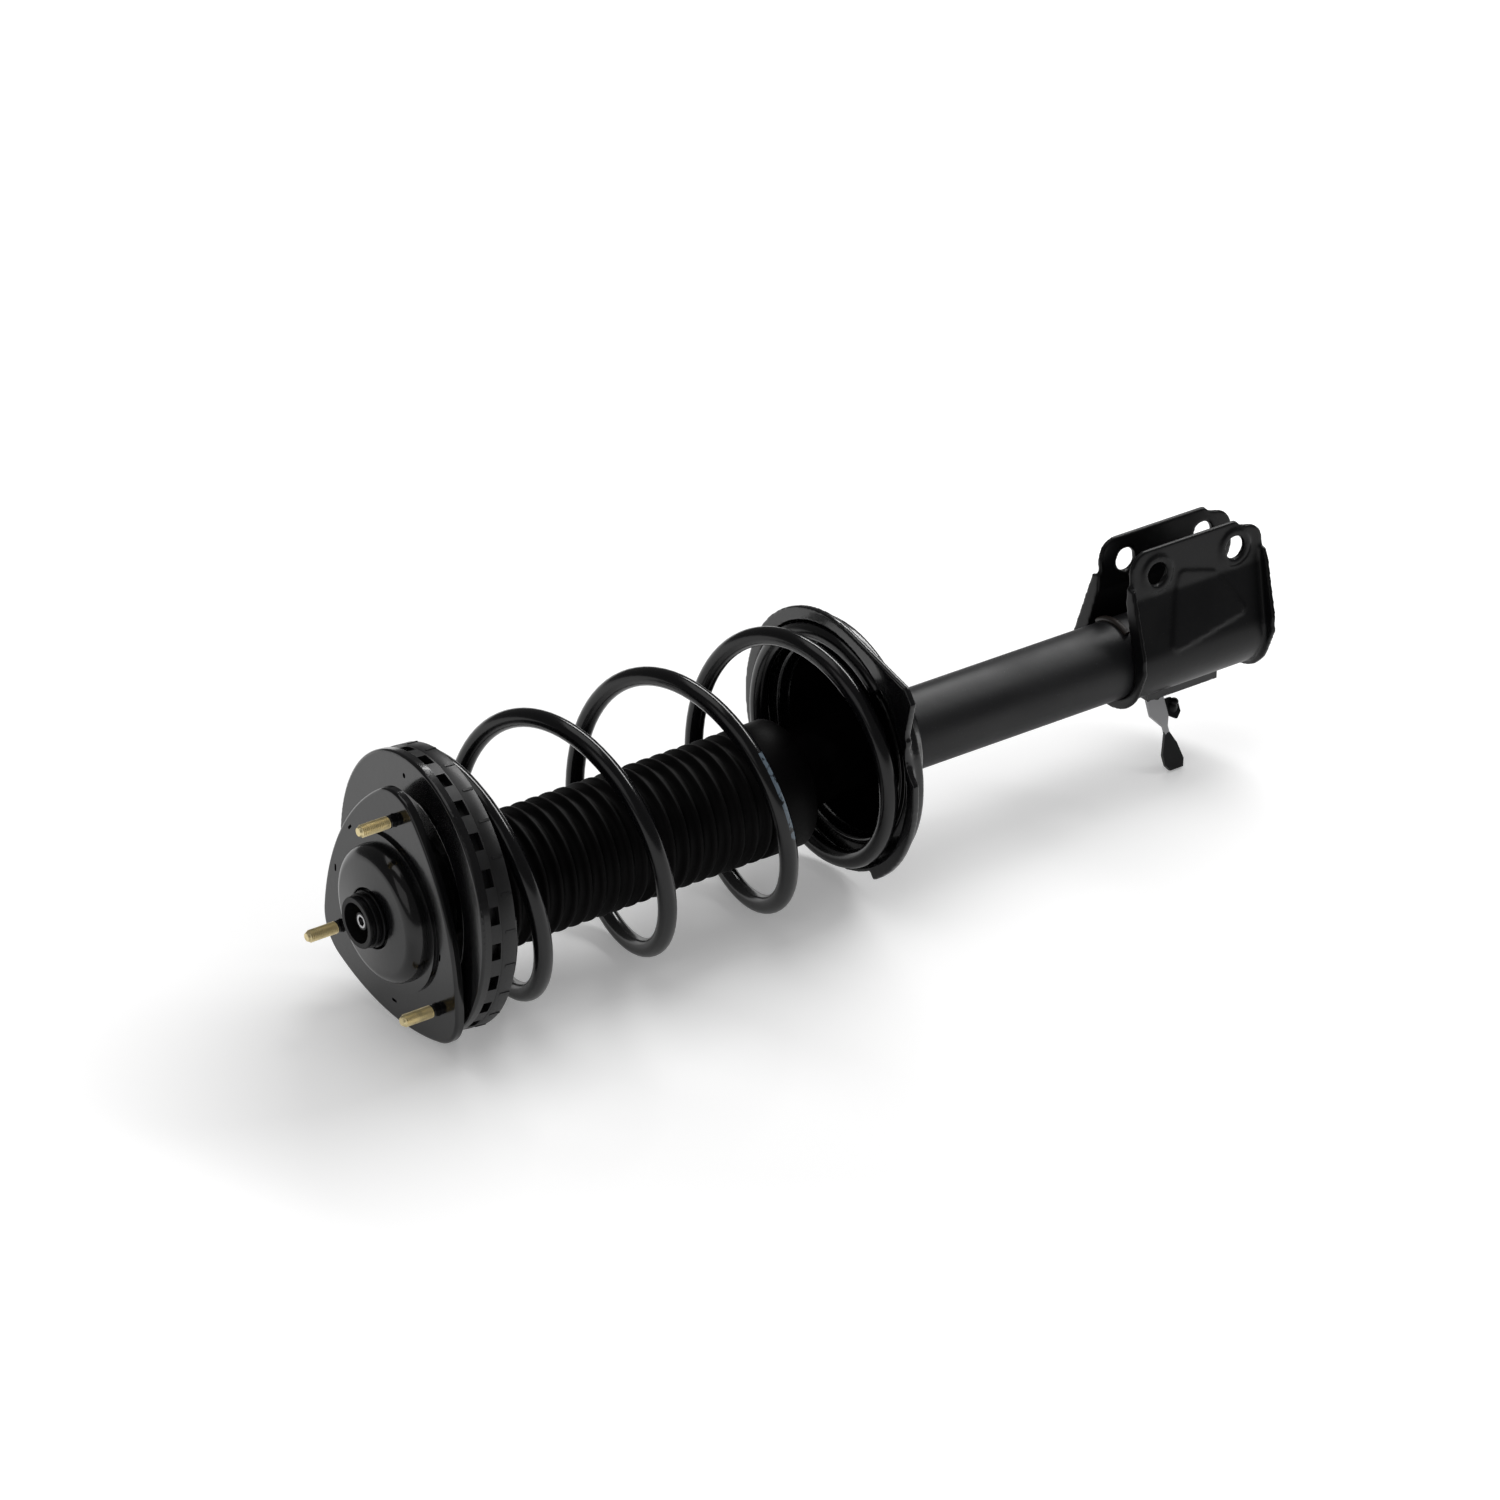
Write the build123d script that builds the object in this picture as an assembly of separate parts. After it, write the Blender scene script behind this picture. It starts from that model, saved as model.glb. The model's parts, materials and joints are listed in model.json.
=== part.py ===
"""Front suspension strut, lying on its side: top mount, spring, damper and knuckle bracket.

Millimetres. The rod axis is X. The origin is on that axis, in the face of the top mount that
meets the body, and +X runs down the strut to the knuckle bracket. +Z is up as the strut lies.
Angles round the rod axis start at +Z and turn towards -Y.
"""
from build123d import *
from math import acos, atan2, ceil, cos, degrees, hypot, pi, radians, sin
import os

# ---- clearances -------------------------------------------------------------------------------
SEAT_GAP = 0.3           # between a soft or sprung piece and what carries it
SLIDE_GAP = 0.05         # running fit of the rod and the piston, on the radius
BOND_GAP = 0.05          # between pressed, bonded or welded pieces of one body
BALL_GAP = 0.2           # between a ball and its races

# ---- rod ----------------------------------------------------------------------------------------
ROD_R = 11.0
ROD_THREAD_R = 6.0
ROD_TIP_X = -20.5
ROD_SOCKET_R = 2.7
ROD_SOCKET_DEPTH = 8.0

# ---- stack on the rod's threaded end, from the rod's shoulder to the nut -----------------------
SHOULDER_X = 24.0
HUB_THICK = 4.0
SPACER_LENGTH = 11.0
SPACER_WALL = 3.5
BEARING_WIDTH = 10.0
WASHER_THICK = 2.0
WASHER_R = 11.4
NUT_HEIGHT = 9.0
NUT_FLATS = 19.0
SPACER_BACK_X = SHOULDER_X - HUB_THICK
BEARING_BACK_X = SPACER_BACK_X - SPACER_LENGTH
BEARING_FRONT_X = BEARING_BACK_X - BEARING_WIDTH
WASHER_FRONT_X = BEARING_FRONT_X - WASHER_THICK

# ---- bearing ------------------------------------------------------------------------------------
BALL_R = 3.2
BALL_COUNT = 11
BALL_CIRCLE_R = 13.7
RACE_INNER_R = 11.2      # outside of the inner race
RACE_OUTER_R = 16.2      # inside of the outer race
BEARING_R = 20.5
RETAINER_THICK = 1.6

# ---- mount plate --------------------------------------------------------------------------------
PLATE_THICK = 3.0
PLATE_RIM_DEPTH = 5.5
PLATE_RIM_WALL = 2.5
PLATE_CORNER_R = 91.0    # corners of the outline, before they are rounded
PLATE_ROUND = 27.0
CORNER_INSET = 1.13      # how far a corner moves in for each millimetre that its sides move in
PLATE_EDGE_ROUND = 2.0
STEP_R = 50.5
STEP_HEIGHT = 2.2
STUD_ANGLES = (6.0, 132.0, 237.0)
SIDE_R = (64.0, 73.0, 62.5)          # distance of each bowed side from the axis
STUD_CIRCLE_R = 65.7
STUD_R = 4.0
STUD_LENGTH = 25.0
STUD_TIP_ROUND = 1.4
STUD_SHOULDER_R = 4.2    # where the stud is pressed into the plate
STUD_SHOULDER_PROUD = 0.3
STUD_GROOVE_R = 3.6      # run-out of the thread
STUD_GROOVE_WIDTH = 0.8
STUD_HEAD_R = 6.5
STUD_HEAD_THICK = 2.0
STAKE_SLOTS = ((60.0, -88.0), (53.5, 97.0), (60.5, 178.0), (57.0, -48.0))
STAKE_LENGTH = 5.0
STAKE_WIDTH = 1.8

# ---- mount cup, rubber and bearing housing ------------------------------------------------------
CUP_R = 43.5
CUP_WALL = 2.5
CUP_FACE_X = -14.6       # face at the opening
CUP_SHOULDER_X = -12.0   # face at the outer edge
CUP_ROUND = 3.0
CUP_OPENING_R = 19.0
CUP_FLANGE_R = 55.0
HOUSING_R = 24.0
NECK_R = 16.4
NECK_BORE_R = 12.8
NECK_FRONT_X = -24.0
NECK_RIB_R = (16.3, 17.0, 17.8)
NECK_RIB_PITCH = 4.2
NECK_RIB_WIDTH = 2.2
RUBBER_BACK_X = 5.0

# ---- spring -------------------------------------------------------------------------------------
SPRING_OFFSET = 8.0      # spring axis above the rod axis
COIL_R = 79.1
WIRE_R = 5.9
PITCH = 89.6
COIL_ZERO_X = 121.4      # where the free coil crosses the top, at angle 0
RAMP_TURNS = 0.45        # part of a turn in which the pitch grows from nothing
TOP_TIP_TURN = -1.78
LOW_TIP_TURN = 3.11
LOW_PITCH = 12.6         # the lower end closes to this pitch, just over the wire's width
LOW_COIL_R = 72.5        # and draws in to this radius
LOW_OFFSET = 10.0        # round an axis this far above the rod axis
STEPS_PER_TURN = 12

# ---- upper spring seat and insulator ------------------------------------------------------------
SEAT_TILT_Y = 2.2        # the upper seat leans: degrees about Y and about Z
SEAT_TILT_Z = -4.0
SEAT_X = 14.5
SEAT_R = COIL_R + WIRE_R + 2.5
FLOOR_Z = SPRING_OFFSET - SEAT_R      # the strut lies on the rim of the upper seat
SEAT_THICK = 3.0
SEAT_RIM_DEPTH = 6.0
SEAT_EDGE_ROUND = 2.0
SEAT_STEP_R = 63.0
SEAT_STEP_DEPTH = 9.5
SEAT_STEP_ROUND = 2.0
SEAT_STEP_SLOPE = 2.0
SEAT_WELL_R = 31.0
HUB_R = 38.0
HUB_WALL = 6.0
SLOT_R = 65.9
SLOT_ANGLE = 21.0
SLOT_LENGTH = 14.0
SLOT_WIDTH = 3.6
PEEP_R = 75.0
PEEP_ANGLE = -7.0
PEEP_HOLE_R = 1.6
INSULATOR_R = SEAT_R - 0.5
INSULATOR_ROUND = 1.5
INSULATOR_BASE = 12.0    # thickness under the spring
SLEEVE_LENGTH = 15.0
SLEEVE_WALL = 4.0
SLEEVE_GAP = 1.5         # between the sleeve and the spring
NOTCH_COUNT = 24
NOTCH_WIDTH = 11.0
NOTCH_DEPTH = 6.0
NOTCH_AXIAL = 8.5

# ---- dust boot and bump stop --------------------------------------------------------------------
BOOT_SAG = 5.0
BOOT_R = 41.0
BOOT_ROOT_R = 36.5
BOOT_WALL = 1.6
BOOT_FRONT_X = 30.0
BOOT_FOLDS = 22
BOOT_PITCH = 10.2
COLLAR_LENGTH = 31.0
BUMP_R = 23.0
BUMP_LENGTH = 58.0
BUMP_WAIST = 3.0

# ---- damper -------------------------------------------------------------------------------------
TUBE_R = 25.4
TUBE_WALL = 2.5
TUBE_FRONT_X = 276.0
TUBE_END_X = 647.0
CAP_DEPTH = 7.0
GLAND_LIP = 3.0
GUIDE_LENGTH = 15.0
SEAL_THICK = 4.0
BUSH_WALL = 1.0
PRESSURE_R = 16.0
PRESSURE_WALL = 1.5
REBOUND_STOP_LENGTH = 14.0
REBOUND_STOP_R = 14.5
PISTON_LENGTH = 16.0
PISTON_SEAT_R = 7.0
BAND_WIDTH = 9.0
BAND_THICK = 1.2
PISTON_NUT_HEIGHT = 8.0
PISTON_NUT_FLATS = 21.0
VALVE_THICK = 7.0

# ---- lower spring seat --------------------------------------------------------------------------
LEDGE_X = 332.2
LOWER_SEAT_R = COIL_R + 9.4
LOWER_SEAT_THICK = 3.0
LOWER_LIP_DEPTH = 4.5    # the flange's edge turns down by this
CHANNEL_DEPTH = 10.2     # from the flange to the ledge under the spring
CHANNEL_GAP = 0.6        # beside the wire
CHANNEL_FLARE = 0.5
PILOT_HEIGHT = 4.0
PILOT_WIDTH = 3.4
PILOT_ROUND = 1.0
DISH_R = 46.0
DISH_DEPTH = 25.0
DISH_ROUND = 4.0
SLEEVE_HUB_LENGTH = 12.0
SLEEVE_HUB_WALL = 3.0
LUG_R = 106.0            # blunt tip of the lug
LUG_TIP_ANGLES = (46.5, 53.0)
LUG_ROOT_ANGLES = (14.0, 63.0)
LUG_ROUND = 2.0
HOLLOW_ANGLE = 75.0      # hollow in the edge beside the lug
HOLLOW_R = 22.0
HOLLOW_DEPTH = 5.5
CUT_ANGLES = (148.0, 212.0)          # the flange's lowest part is cut away

# ---- knuckle bracket ----------------------------------------------------------------------------
BRACKET_X = 541.5
BRACKET_LENGTH = 106.5   # of the wrap
BRACKET_ROLL = -5.6      # the ears lean away from upright by this turn about X
BRACKET_SHEET = 3.5
EAR_FRONT_SETBACK = 7.3  # of the ears' front edges behind the front end of the wrap
EAR_OVERHANG = 6.5       # of the ears' back edges past the back end of the wrap
EAR_OUTSIDE = 17.5       # outer face of an ear from the middle
EAR_TOP_Z = 74.5
EAR_KNEE_Z = 43.0
EAR_KNEE_LIFT = 1.0      # of the outer bend over the inner one
EAR_CORNER = 14.0
EAR_LOBE_LENGTH = 21.0
EAR_LOBE_ROUND = 12.0
EAR_STEP = 4.0
FRONT_FLARE_Z = (52.0, 8.0)          # between these heights the front edge slopes out to the wrap
FRONT_FLARE_STEP = 2.0               # the flange starts this far in front of the ear
BACK_FLARE_Z = (44.0, 6.0)           # between these the back edge slopes in to the wrap
BOLT_Z = 57.0
BOLT_EDGE = 27.8         # first bolt hole from the front end of the wrap
BOLT_SPACING = 62.5
BOLT_R = 7.6
BOLT_PAD_R = 12.0
BOLT_PAD_HEIGHT = 1.2
FLANGE_THICK = 3.0
FLANGE_R = 32.5          # the turned-out ends are a ring under the tube
FLANGE_HALF = 36.5       # with wings this far to each side, up to this height
FLANGE_WIDE_Z = 10.0
FLANGE_TOP_HALF = 21.0   # which narrow to this at the top
FLANGE_TOP_Z = 52.0
FLANGE_FOOT_ANGLE = 117.0
PANEL_HEIGHT = 1.0
PANEL_ROUND = 4.0
PANEL_CORNERS = ((0.0, 4.6), (18.0, 54.0), (46.0, 46.0), (65.5, 16.0))   # from the first bolt, and z

# ---- hose bracket -------------------------------------------------------------------------------
HOSE_SHEET = 2.5
STRIP_X = 570.0
STRIP_LENGTH = 56.0
STRIP_WIDTH = 11.0
STRIP_DEPTH = 4.0
TAB_LEAN = 26.3          # degrees from upright
TAB_Y = -3.0
TAB_Z = -35.0
CLIP_HOLE_R = 3.0
CLIP_THICK = 2.0


def turned(points, axis_z=0.0):
    """A solid turned about the rod axis, or one axis_z above it, from (x, radius[, corner round])."""
    outline = make_face(Polyline(*[(p[0], 0, p[1]) for p in points], close=True))
    for x, radius, *bend in points:
        if bend:
            corner = outline.vertices().sort_by_distance((x, 0, radius))[0]
            outline = fillet(corner, bend[0])
    return Pos(0, 0, axis_z) * revolve(outline, Axis.X)


def pipe(x_front, x_back, inner_r, outer_r, axis_z=0.0):
    """A plain ring between two stations of the rod axis."""
    return turned([(x_front, inner_r), (x_back, inner_r), (x_back, outer_r), (x_front, outer_r)], axis_z)


def across(x):
    """The plane at a station of the rod axis, with its x to -Y and its y to +Z, seen from the top."""
    return Plane(origin=(x, 0, 0), x_dir=(0, -1, 0), z_dir=(-1, 0, 0))


def polar(radius, angle):
    """A point of such a plane from its radius and its angle from +Z towards -Y."""
    return (radius * sin(radians(angle)), radius * cos(radians(angle)))


def hexagon_nut(x_front, height, flats, bore_r):
    """A hexagon nut whose front face is at x_front."""
    body = extrude(across(x_front + height) * RegularPolygon(flats / 2, 6, major_radius=False), height)
    return body - pipe(x_front - 1, x_front + height + 1, 0, bore_r)


def leaning(piece):
    """Carries a piece of the upper seat from upright, with its face at x = 0, to where it leans."""
    centre = Pos(SEAT_X, 0, SPRING_OFFSET)
    return centre * Rot(0, 0, SEAT_TILT_Z) * Rot(0, SEAT_TILT_Y, 0) * Pos(0, 0, -SPRING_OFFSET) * piece


# ---- top mount ----------------------------------------------------------------------------------
def plate_outline(inset=0.0):
    """Three bowed sides between three rounded corners, one corner beyond each stud."""
    corners = [polar(PLATE_CORNER_R - inset * CORNER_INSET, angle) for angle in STUD_ANGLES]
    sides = []
    for index, reach in enumerate(SIDE_R):
        start = STUD_ANGLES[index]
        end = STUD_ANGLES[(index + 1) % 3] + (360 if index == 2 else 0)
        middle = polar(reach - inset, (start + end) / 2)
        sides.append(ThreePointArc(corners[index], middle, corners[(index + 1) % 3]))
    outline = make_face(sides)
    return fillet(outline.vertices(), PLATE_ROUND - inset)


def make_mount_plate():
    plate = extrude(across(PLATE_RIM_DEPTH) * plate_outline(), PLATE_RIM_DEPTH)
    plate -= extrude(across(PLATE_RIM_DEPTH) * plate_outline(PLATE_RIM_WALL), PLATE_RIM_DEPTH - PLATE_THICK)
    front_edges = plate.faces().sort_by(Axis.X)[0].outer_wire().edges()
    plate = fillet(front_edges, PLATE_EDGE_ROUND)
    plate += pipe(-STEP_HEIGHT, PLATE_THICK, CUP_R, STEP_R)
    plate -= pipe(-STEP_HEIGHT - 1, PLATE_THICK + 1, 0, CUP_R + BOND_GAP)
    for angle in STUD_ANGLES:
        hole = across(PLATE_THICK + 1) * Pos(*polar(STUD_CIRCLE_R, angle)) * Circle(STUD_SHOULDER_R + BOND_GAP)
        plate -= extrude(hole, PLATE_THICK + 2)
    for radius, angle in STAKE_SLOTS:
        slot = Pos(*polar(radius, angle)) * Rot(0, 0, -angle) * SlotOverall(STAKE_LENGTH, STAKE_WIDTH)
        plate -= extrude(across(PLATE_THICK + 1) * slot, PLATE_THICK + 2)
    return plate


def make_tower_stud(angle):
    """A stud pressed through the plate from behind, with a run-out groove in front of its shoulder."""
    head_back = PLATE_THICK + STUD_HEAD_THICK
    groove_front = -STUD_SHOULDER_PROUD - STUD_GROOVE_WIDTH
    stud = turned([
        (head_back, 0), (head_back, STUD_HEAD_R), (PLATE_THICK, STUD_HEAD_R), (PLATE_THICK, STUD_SHOULDER_R),
        (-STUD_SHOULDER_PROUD, STUD_SHOULDER_R), (-STUD_SHOULDER_PROUD, STUD_GROOVE_R),
        (groove_front, STUD_GROOVE_R), (groove_front, STUD_R), (-STUD_LENGTH, STUD_R, STUD_TIP_ROUND),
        (-STUD_LENGTH, 0)])
    sideways, up = polar(STUD_CIRCLE_R, angle)
    return Pos(0, -sideways, up) * stud


def make_mount_cup():
    inner = CUP_R - CUP_WALL
    back = PLATE_THICK + CUP_WALL
    return turned([
        (CUP_SHOULDER_X, CUP_R, CUP_ROUND), (PLATE_THICK, CUP_R), (PLATE_THICK, CUP_FLANGE_R),
        (back, CUP_FLANGE_R), (back, inner), (CUP_SHOULDER_X + CUP_WALL, inner),
        (CUP_FACE_X + CUP_WALL, CUP_OPENING_R), (CUP_FACE_X, CUP_OPENING_R, 1.0)])


def make_bearing_housing():
    """A shell that holds the bearing, with a ribbed neck that stands out of the cup."""
    shell = turned([
        (NECK_FRONT_X, NECK_BORE_R), (BEARING_FRONT_X - BOND_GAP, NECK_BORE_R),
        (BEARING_FRONT_X - BOND_GAP, BEARING_R + BOND_GAP),
        (BEARING_BACK_X + RETAINER_THICK, BEARING_R + BOND_GAP), (BEARING_BACK_X + RETAINER_THICK, HOUSING_R),
        (WASHER_FRONT_X, HOUSING_R, 2.0), (WASHER_FRONT_X, NECK_R - 1.2), (NECK_FRONT_X, NECK_R - 1.2)])
    for index, rib_r in enumerate(NECK_RIB_R):
        front = NECK_FRONT_X + index * NECK_RIB_PITCH
        back = front + NECK_RIB_WIDTH
        round_r = NECK_RIB_WIDTH * 0.35
        root_r = NECK_R - 2
        shell += turned([(front, root_r), (back, root_r), (back, rib_r, round_r), (front, rib_r, round_r)])
    return shell


def make_mount_rubber():
    """Rubber bonded between the cup and the bearing housing."""
    outside = CUP_R - CUP_WALL - BOND_GAP
    front = CUP_SHOULDER_X + CUP_WALL + BOND_GAP + 1.0
    neck = NECK_R - 1.2 + BOND_GAP
    return turned([
        (front, neck), (WASHER_FRONT_X - BOND_GAP, neck), (WASHER_FRONT_X - BOND_GAP, HOUSING_R + BOND_GAP),
        (RUBBER_BACK_X, HOUSING_R + BOND_GAP), (RUBBER_BACK_X - 3.0, (HOUSING_R + outside) / 2),
        (RUBBER_BACK_X, outside), (front, outside)])


# ---- bearing ------------------------------------------------------------------------------------
def ball_groove():
    middle = (BEARING_FRONT_X + BEARING_BACK_X) / 2
    section = Pos(middle, 0, BALL_CIRCLE_R) * Rot(90, 0, 0) * Circle(BALL_R + BALL_GAP)
    return revolve(section, Axis.X)


def make_outer_race():
    return pipe(BEARING_FRONT_X, BEARING_BACK_X, RACE_OUTER_R, BEARING_R) - ball_groove()


def make_inner_race():
    return pipe(BEARING_FRONT_X, BEARING_BACK_X, ROD_THREAD_R + BOND_GAP, RACE_INNER_R) - ball_groove()


def make_ball(index):
    angle = 360 / BALL_COUNT * index
    middle = (BEARING_FRONT_X + BEARING_BACK_X) / 2
    return Rot(angle, 0, 0) * Pos(middle, 0, BALL_CIRCLE_R) * Sphere(BALL_R)


def make_retainer():
    back = BEARING_BACK_X + RETAINER_THICK
    return pipe(BEARING_BACK_X + BOND_GAP, back, RACE_OUTER_R + 1, BEARING_R)


# ---- rod and piston -----------------------------------------------------------------------------
GUIDE_BACK_X = TUBE_FRONT_X + SEAL_THICK + GUIDE_LENGTH
STOP_X = GUIDE_BACK_X + SEAT_GAP
PISTON_X = STOP_X + REBOUND_STOP_LENGTH
PISTON_BACK_X = PISTON_X + PISTON_LENGTH
ROD_END_X = PISTON_BACK_X + PISTON_NUT_HEIGHT + 3.0


def make_piston_rod():
    rod = turned([
        (ROD_TIP_X, 0), (ROD_TIP_X, ROD_THREAD_R, 0.8), (SHOULDER_X, ROD_THREAD_R), (SHOULDER_X, ROD_R, 1.0),
        (PISTON_X, ROD_R), (PISTON_X, PISTON_SEAT_R), (ROD_END_X, PISTON_SEAT_R, 1.0), (ROD_END_X, 0)])
    socket = across(ROD_TIP_X + ROD_SOCKET_DEPTH) * RegularPolygon(ROD_SOCKET_R, 6, major_radius=False)
    return rod - extrude(socket, ROD_SOCKET_DEPTH + 1)


def make_piston():
    bore = PRESSURE_R - SLIDE_GAP
    groove = bore - BAND_THICK
    margin = (PISTON_LENGTH - BAND_WIDTH) / 2
    return turned([
        (PISTON_X, PISTON_SEAT_R + BOND_GAP), (PISTON_X, bore - 0.5), (PISTON_X + margin, bore - 0.5),
        (PISTON_X + margin, groove), (PISTON_BACK_X - margin, groove), (PISTON_BACK_X - margin, bore - 0.5),
        (PISTON_BACK_X, bore - 0.5), (PISTON_BACK_X, PISTON_SEAT_R + BOND_GAP)])


def make_piston_band():
    margin = (PISTON_LENGTH - BAND_WIDTH) / 2 + BOND_GAP
    bore = PRESSURE_R - SLIDE_GAP
    return pipe(PISTON_X + margin, PISTON_BACK_X - margin, bore - BAND_THICK + BOND_GAP, bore)


def make_rebound_stop():
    back = PISTON_X - BOND_GAP
    return turned([
        (STOP_X, ROD_R + BOND_GAP), (back, ROD_R + BOND_GAP), (back, REBOUND_STOP_R, 1.0),
        (STOP_X, REBOUND_STOP_R, 1.0)])


def make_bump_stop():
    """A waisted foam buffer that tapers towards the damper."""
    front = SHOULDER_X + HUB_THICK + SEAT_GAP
    third = BUMP_LENGTH / 3
    inner = ROD_R + SEAT_GAP
    return turned([
        (front, inner), (front, BUMP_R, 2.0), (front + third * 0.8, BUMP_R, 3.0),
        (front + third, BUMP_R - BUMP_WAIST, 1.5), (front + third * 1.2, BUMP_R, 3.0),
        (front + third * 1.8, BUMP_R - 1, 3.0), (front + third * 2, BUMP_R - BUMP_WAIST - 2, 1.5),
        (front + third * 2.2, BUMP_R - 3, 2.0),
        (front + BUMP_LENGTH, inner + 3, 1.0), (front + BUMP_LENGTH, inner)])


# ---- upper spring seat, insulator and boot ------------------------------------------------------
def make_upper_seat():
    """A dished disc that leans, on a hub square to the rod."""
    well_x = SEAT_STEP_DEPTH
    step = SEAT_STEP_R
    disc = turned([
        (well_x, SEAT_WELL_R), (well_x, step - SEAT_THICK, SEAT_STEP_ROUND), (0, step, SEAT_STEP_ROUND),
        (0, SEAT_R, SEAT_EDGE_ROUND), (SEAT_RIM_DEPTH, SEAT_R), (SEAT_RIM_DEPTH, SEAT_R - SEAT_THICK),
        (SEAT_THICK, SEAT_R - SEAT_THICK), (SEAT_THICK, step + SEAT_STEP_SLOPE),
        (well_x + SEAT_THICK, step - SEAT_THICK + SEAT_STEP_SLOPE), (well_x + SEAT_THICK, SEAT_WELL_R)],
        SPRING_OFFSET)
    slot = across(SEAT_THICK + 1) * Pos(0, SPRING_OFFSET) * Pos(*polar(SLOT_R, SLOT_ANGLE)) \
        * Rot(0, 0, -SLOT_ANGLE) * SlotOverall(SLOT_LENGTH, SLOT_WIDTH)
    beside, above = polar(PEEP_R, PEEP_ANGLE)
    peep = across(SEAT_THICK + 1) * Pos(beside, SPRING_OFFSET + above) * Circle(PEEP_HOLE_R)
    disc -= extrude(slot, SEAT_THICK + 2) + extrude(peep, SEAT_THICK + 2)
    hub = pipe(SPACER_BACK_X, SHOULDER_X, ROD_THREAD_R + BOND_GAP, HUB_R)
    collar = pipe(SPACER_BACK_X, SEAT_X + well_x + 2 * SEAT_THICK, HUB_R - HUB_WALL, HUB_R)
    return leaning(disc) + hub + collar


def make_insulator():
    """A rubber ring with a notched rim, and a sleeve that centres the end of the spring."""
    sleeve_r = COIL_R - WIRE_R - SLEEVE_GAP
    inner = sleeve_r - SLEEVE_WALL
    front = SEAT_THICK + SEAT_GAP
    base = front + INSULATOR_BASE
    inside_rim = SEAT_R - SEAT_THICK - SEAT_GAP
    behind_rim = SEAT_RIM_DEPTH + SEAT_GAP
    ring = turned([
        (front, inner), (front, inside_rim), (behind_rim, inside_rim), (behind_rim, INSULATOR_R),
        (base, INSULATOR_R, INSULATOR_ROUND), (base, sleeve_r), (base + SLEEVE_LENGTH, sleeve_r, 1.0),
        (base + SLEEVE_LENGTH, inner)], SPRING_OFFSET)
    for index in range(NOTCH_COUNT):
        angle = 360 / NOTCH_COUNT * index
        block = Box(NOTCH_AXIAL + 1, NOTCH_WIDTH, NOTCH_DEPTH * 2)
        block = Pos(front + NOTCH_AXIAL / 2, 0, INSULATOR_R) * block
        ring -= Pos(0, 0, SPRING_OFFSET) * Rot(angle, 0, 0) * block
    return leaning(ring)


def make_dust_boot():
    """A folded boot that hangs a little below the rod, with a plain collar at its lower end."""
    start = BOOT_FRONT_X
    outer = [(start, BOOT_ROOT_R)]
    for fold in range(BOOT_FOLDS):
        x = start + BOOT_PITCH * fold
        crest = (0.35 * BOOT_PITCH, 0.65 * BOOT_PITCH)
        outer += [(x + crest[0], BOOT_R), (x + crest[1], BOOT_R), (x + BOOT_PITCH, BOOT_ROOT_R)]
    end = start + BOOT_PITCH * BOOT_FOLDS
    outer += [(end + 1.5, BOOT_R), (end + COLLAR_LENGTH, BOOT_R)]
    inner = [(x, radius - BOOT_WALL) for x, radius in reversed(outer)]
    return turned(outer + inner, -BOOT_SAG)


# ---- spring -------------------------------------------------------------------------------------
def ramp(turn, start):
    """Grows evenly from 0 to 1 over RAMP_TURNS, as the pitch of a closed end does."""
    return min(max((turn - start) / RAMP_TURNS, 0.0), 1.0)


def travelled(turn, start):
    """The turns' worth of pitch made by a coil whose pitch grows from start."""
    part = ramp(turn, start) * RAMP_TURNS
    return part * part / (2 * RAMP_TURNS) + max(turn - start - RAMP_TURNS, 0.0)


TOP_COIL_X = SEAT_X + SEAT_THICK + SEAT_GAP + INSULATOR_BASE + SEAT_GAP + WIRE_R
LOW_COIL_X = LEDGE_X - SEAT_GAP - WIRE_R
TOP_RAMP_TURN = (TOP_COIL_X - COIL_ZERO_X) / PITCH - RAMP_TURNS / 2
LOW_CLOSED_TURNS = (COIL_ZERO_X + PITCH * LOW_TIP_TURN - LOW_COIL_X) / (PITCH - LOW_PITCH)
LOW_RAMP_TURN = LOW_TIP_TURN - LOW_CLOSED_TURNS - RAMP_TURNS / 2


def eased(part):
    """Turns an even growth from 0 to 1 into one that starts and stops gently."""
    return part * part * (3 - 2 * part)


def coil_point(turn):
    """The middle of the wire after so many turns: a leaning flat upper end and a drawn-in lower end."""
    angle = 2 * pi * turn
    closed = eased(ramp(turn, LOW_RAMP_TURN))
    radius = COIL_R + (LOW_COIL_R - COIL_R) * closed
    y = -radius * sin(angle)
    z = SPRING_OFFSET + (LOW_OFFSET - SPRING_OFFSET) * closed + radius * cos(angle)
    lost = (PITCH - LOW_PITCH) * travelled(turn, LOW_RAMP_TURN)
    x = TOP_COIL_X + PITCH * travelled(turn, TOP_RAMP_TURN) - lost
    upright = Vector(x, y, z)
    leaning_share = 1 - eased(ramp(turn, TOP_RAMP_TURN))
    return upright + (leaning(Pos(x - SEAT_X, y, z)).position - upright) * leaning_share


def make_coil_spring():
    steps = ceil((LOW_TIP_TURN - TOP_TIP_TURN) * STEPS_PER_TURN)
    turns = [TOP_TIP_TURN + (LOW_TIP_TURN - TOP_TIP_TURN) * step / steps for step in range(steps + 1)]
    path = Spline(*[coil_point(turn) for turn in turns])
    return sweep(Plane(origin=path @ 0, z_dir=path % 0) * Circle(WIRE_R), path=path)


# ---- damper -------------------------------------------------------------------------------------
def make_strut_tube():
    return pipe(TUBE_FRONT_X, TUBE_END_X, TUBE_R - TUBE_WALL, TUBE_R)


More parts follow.
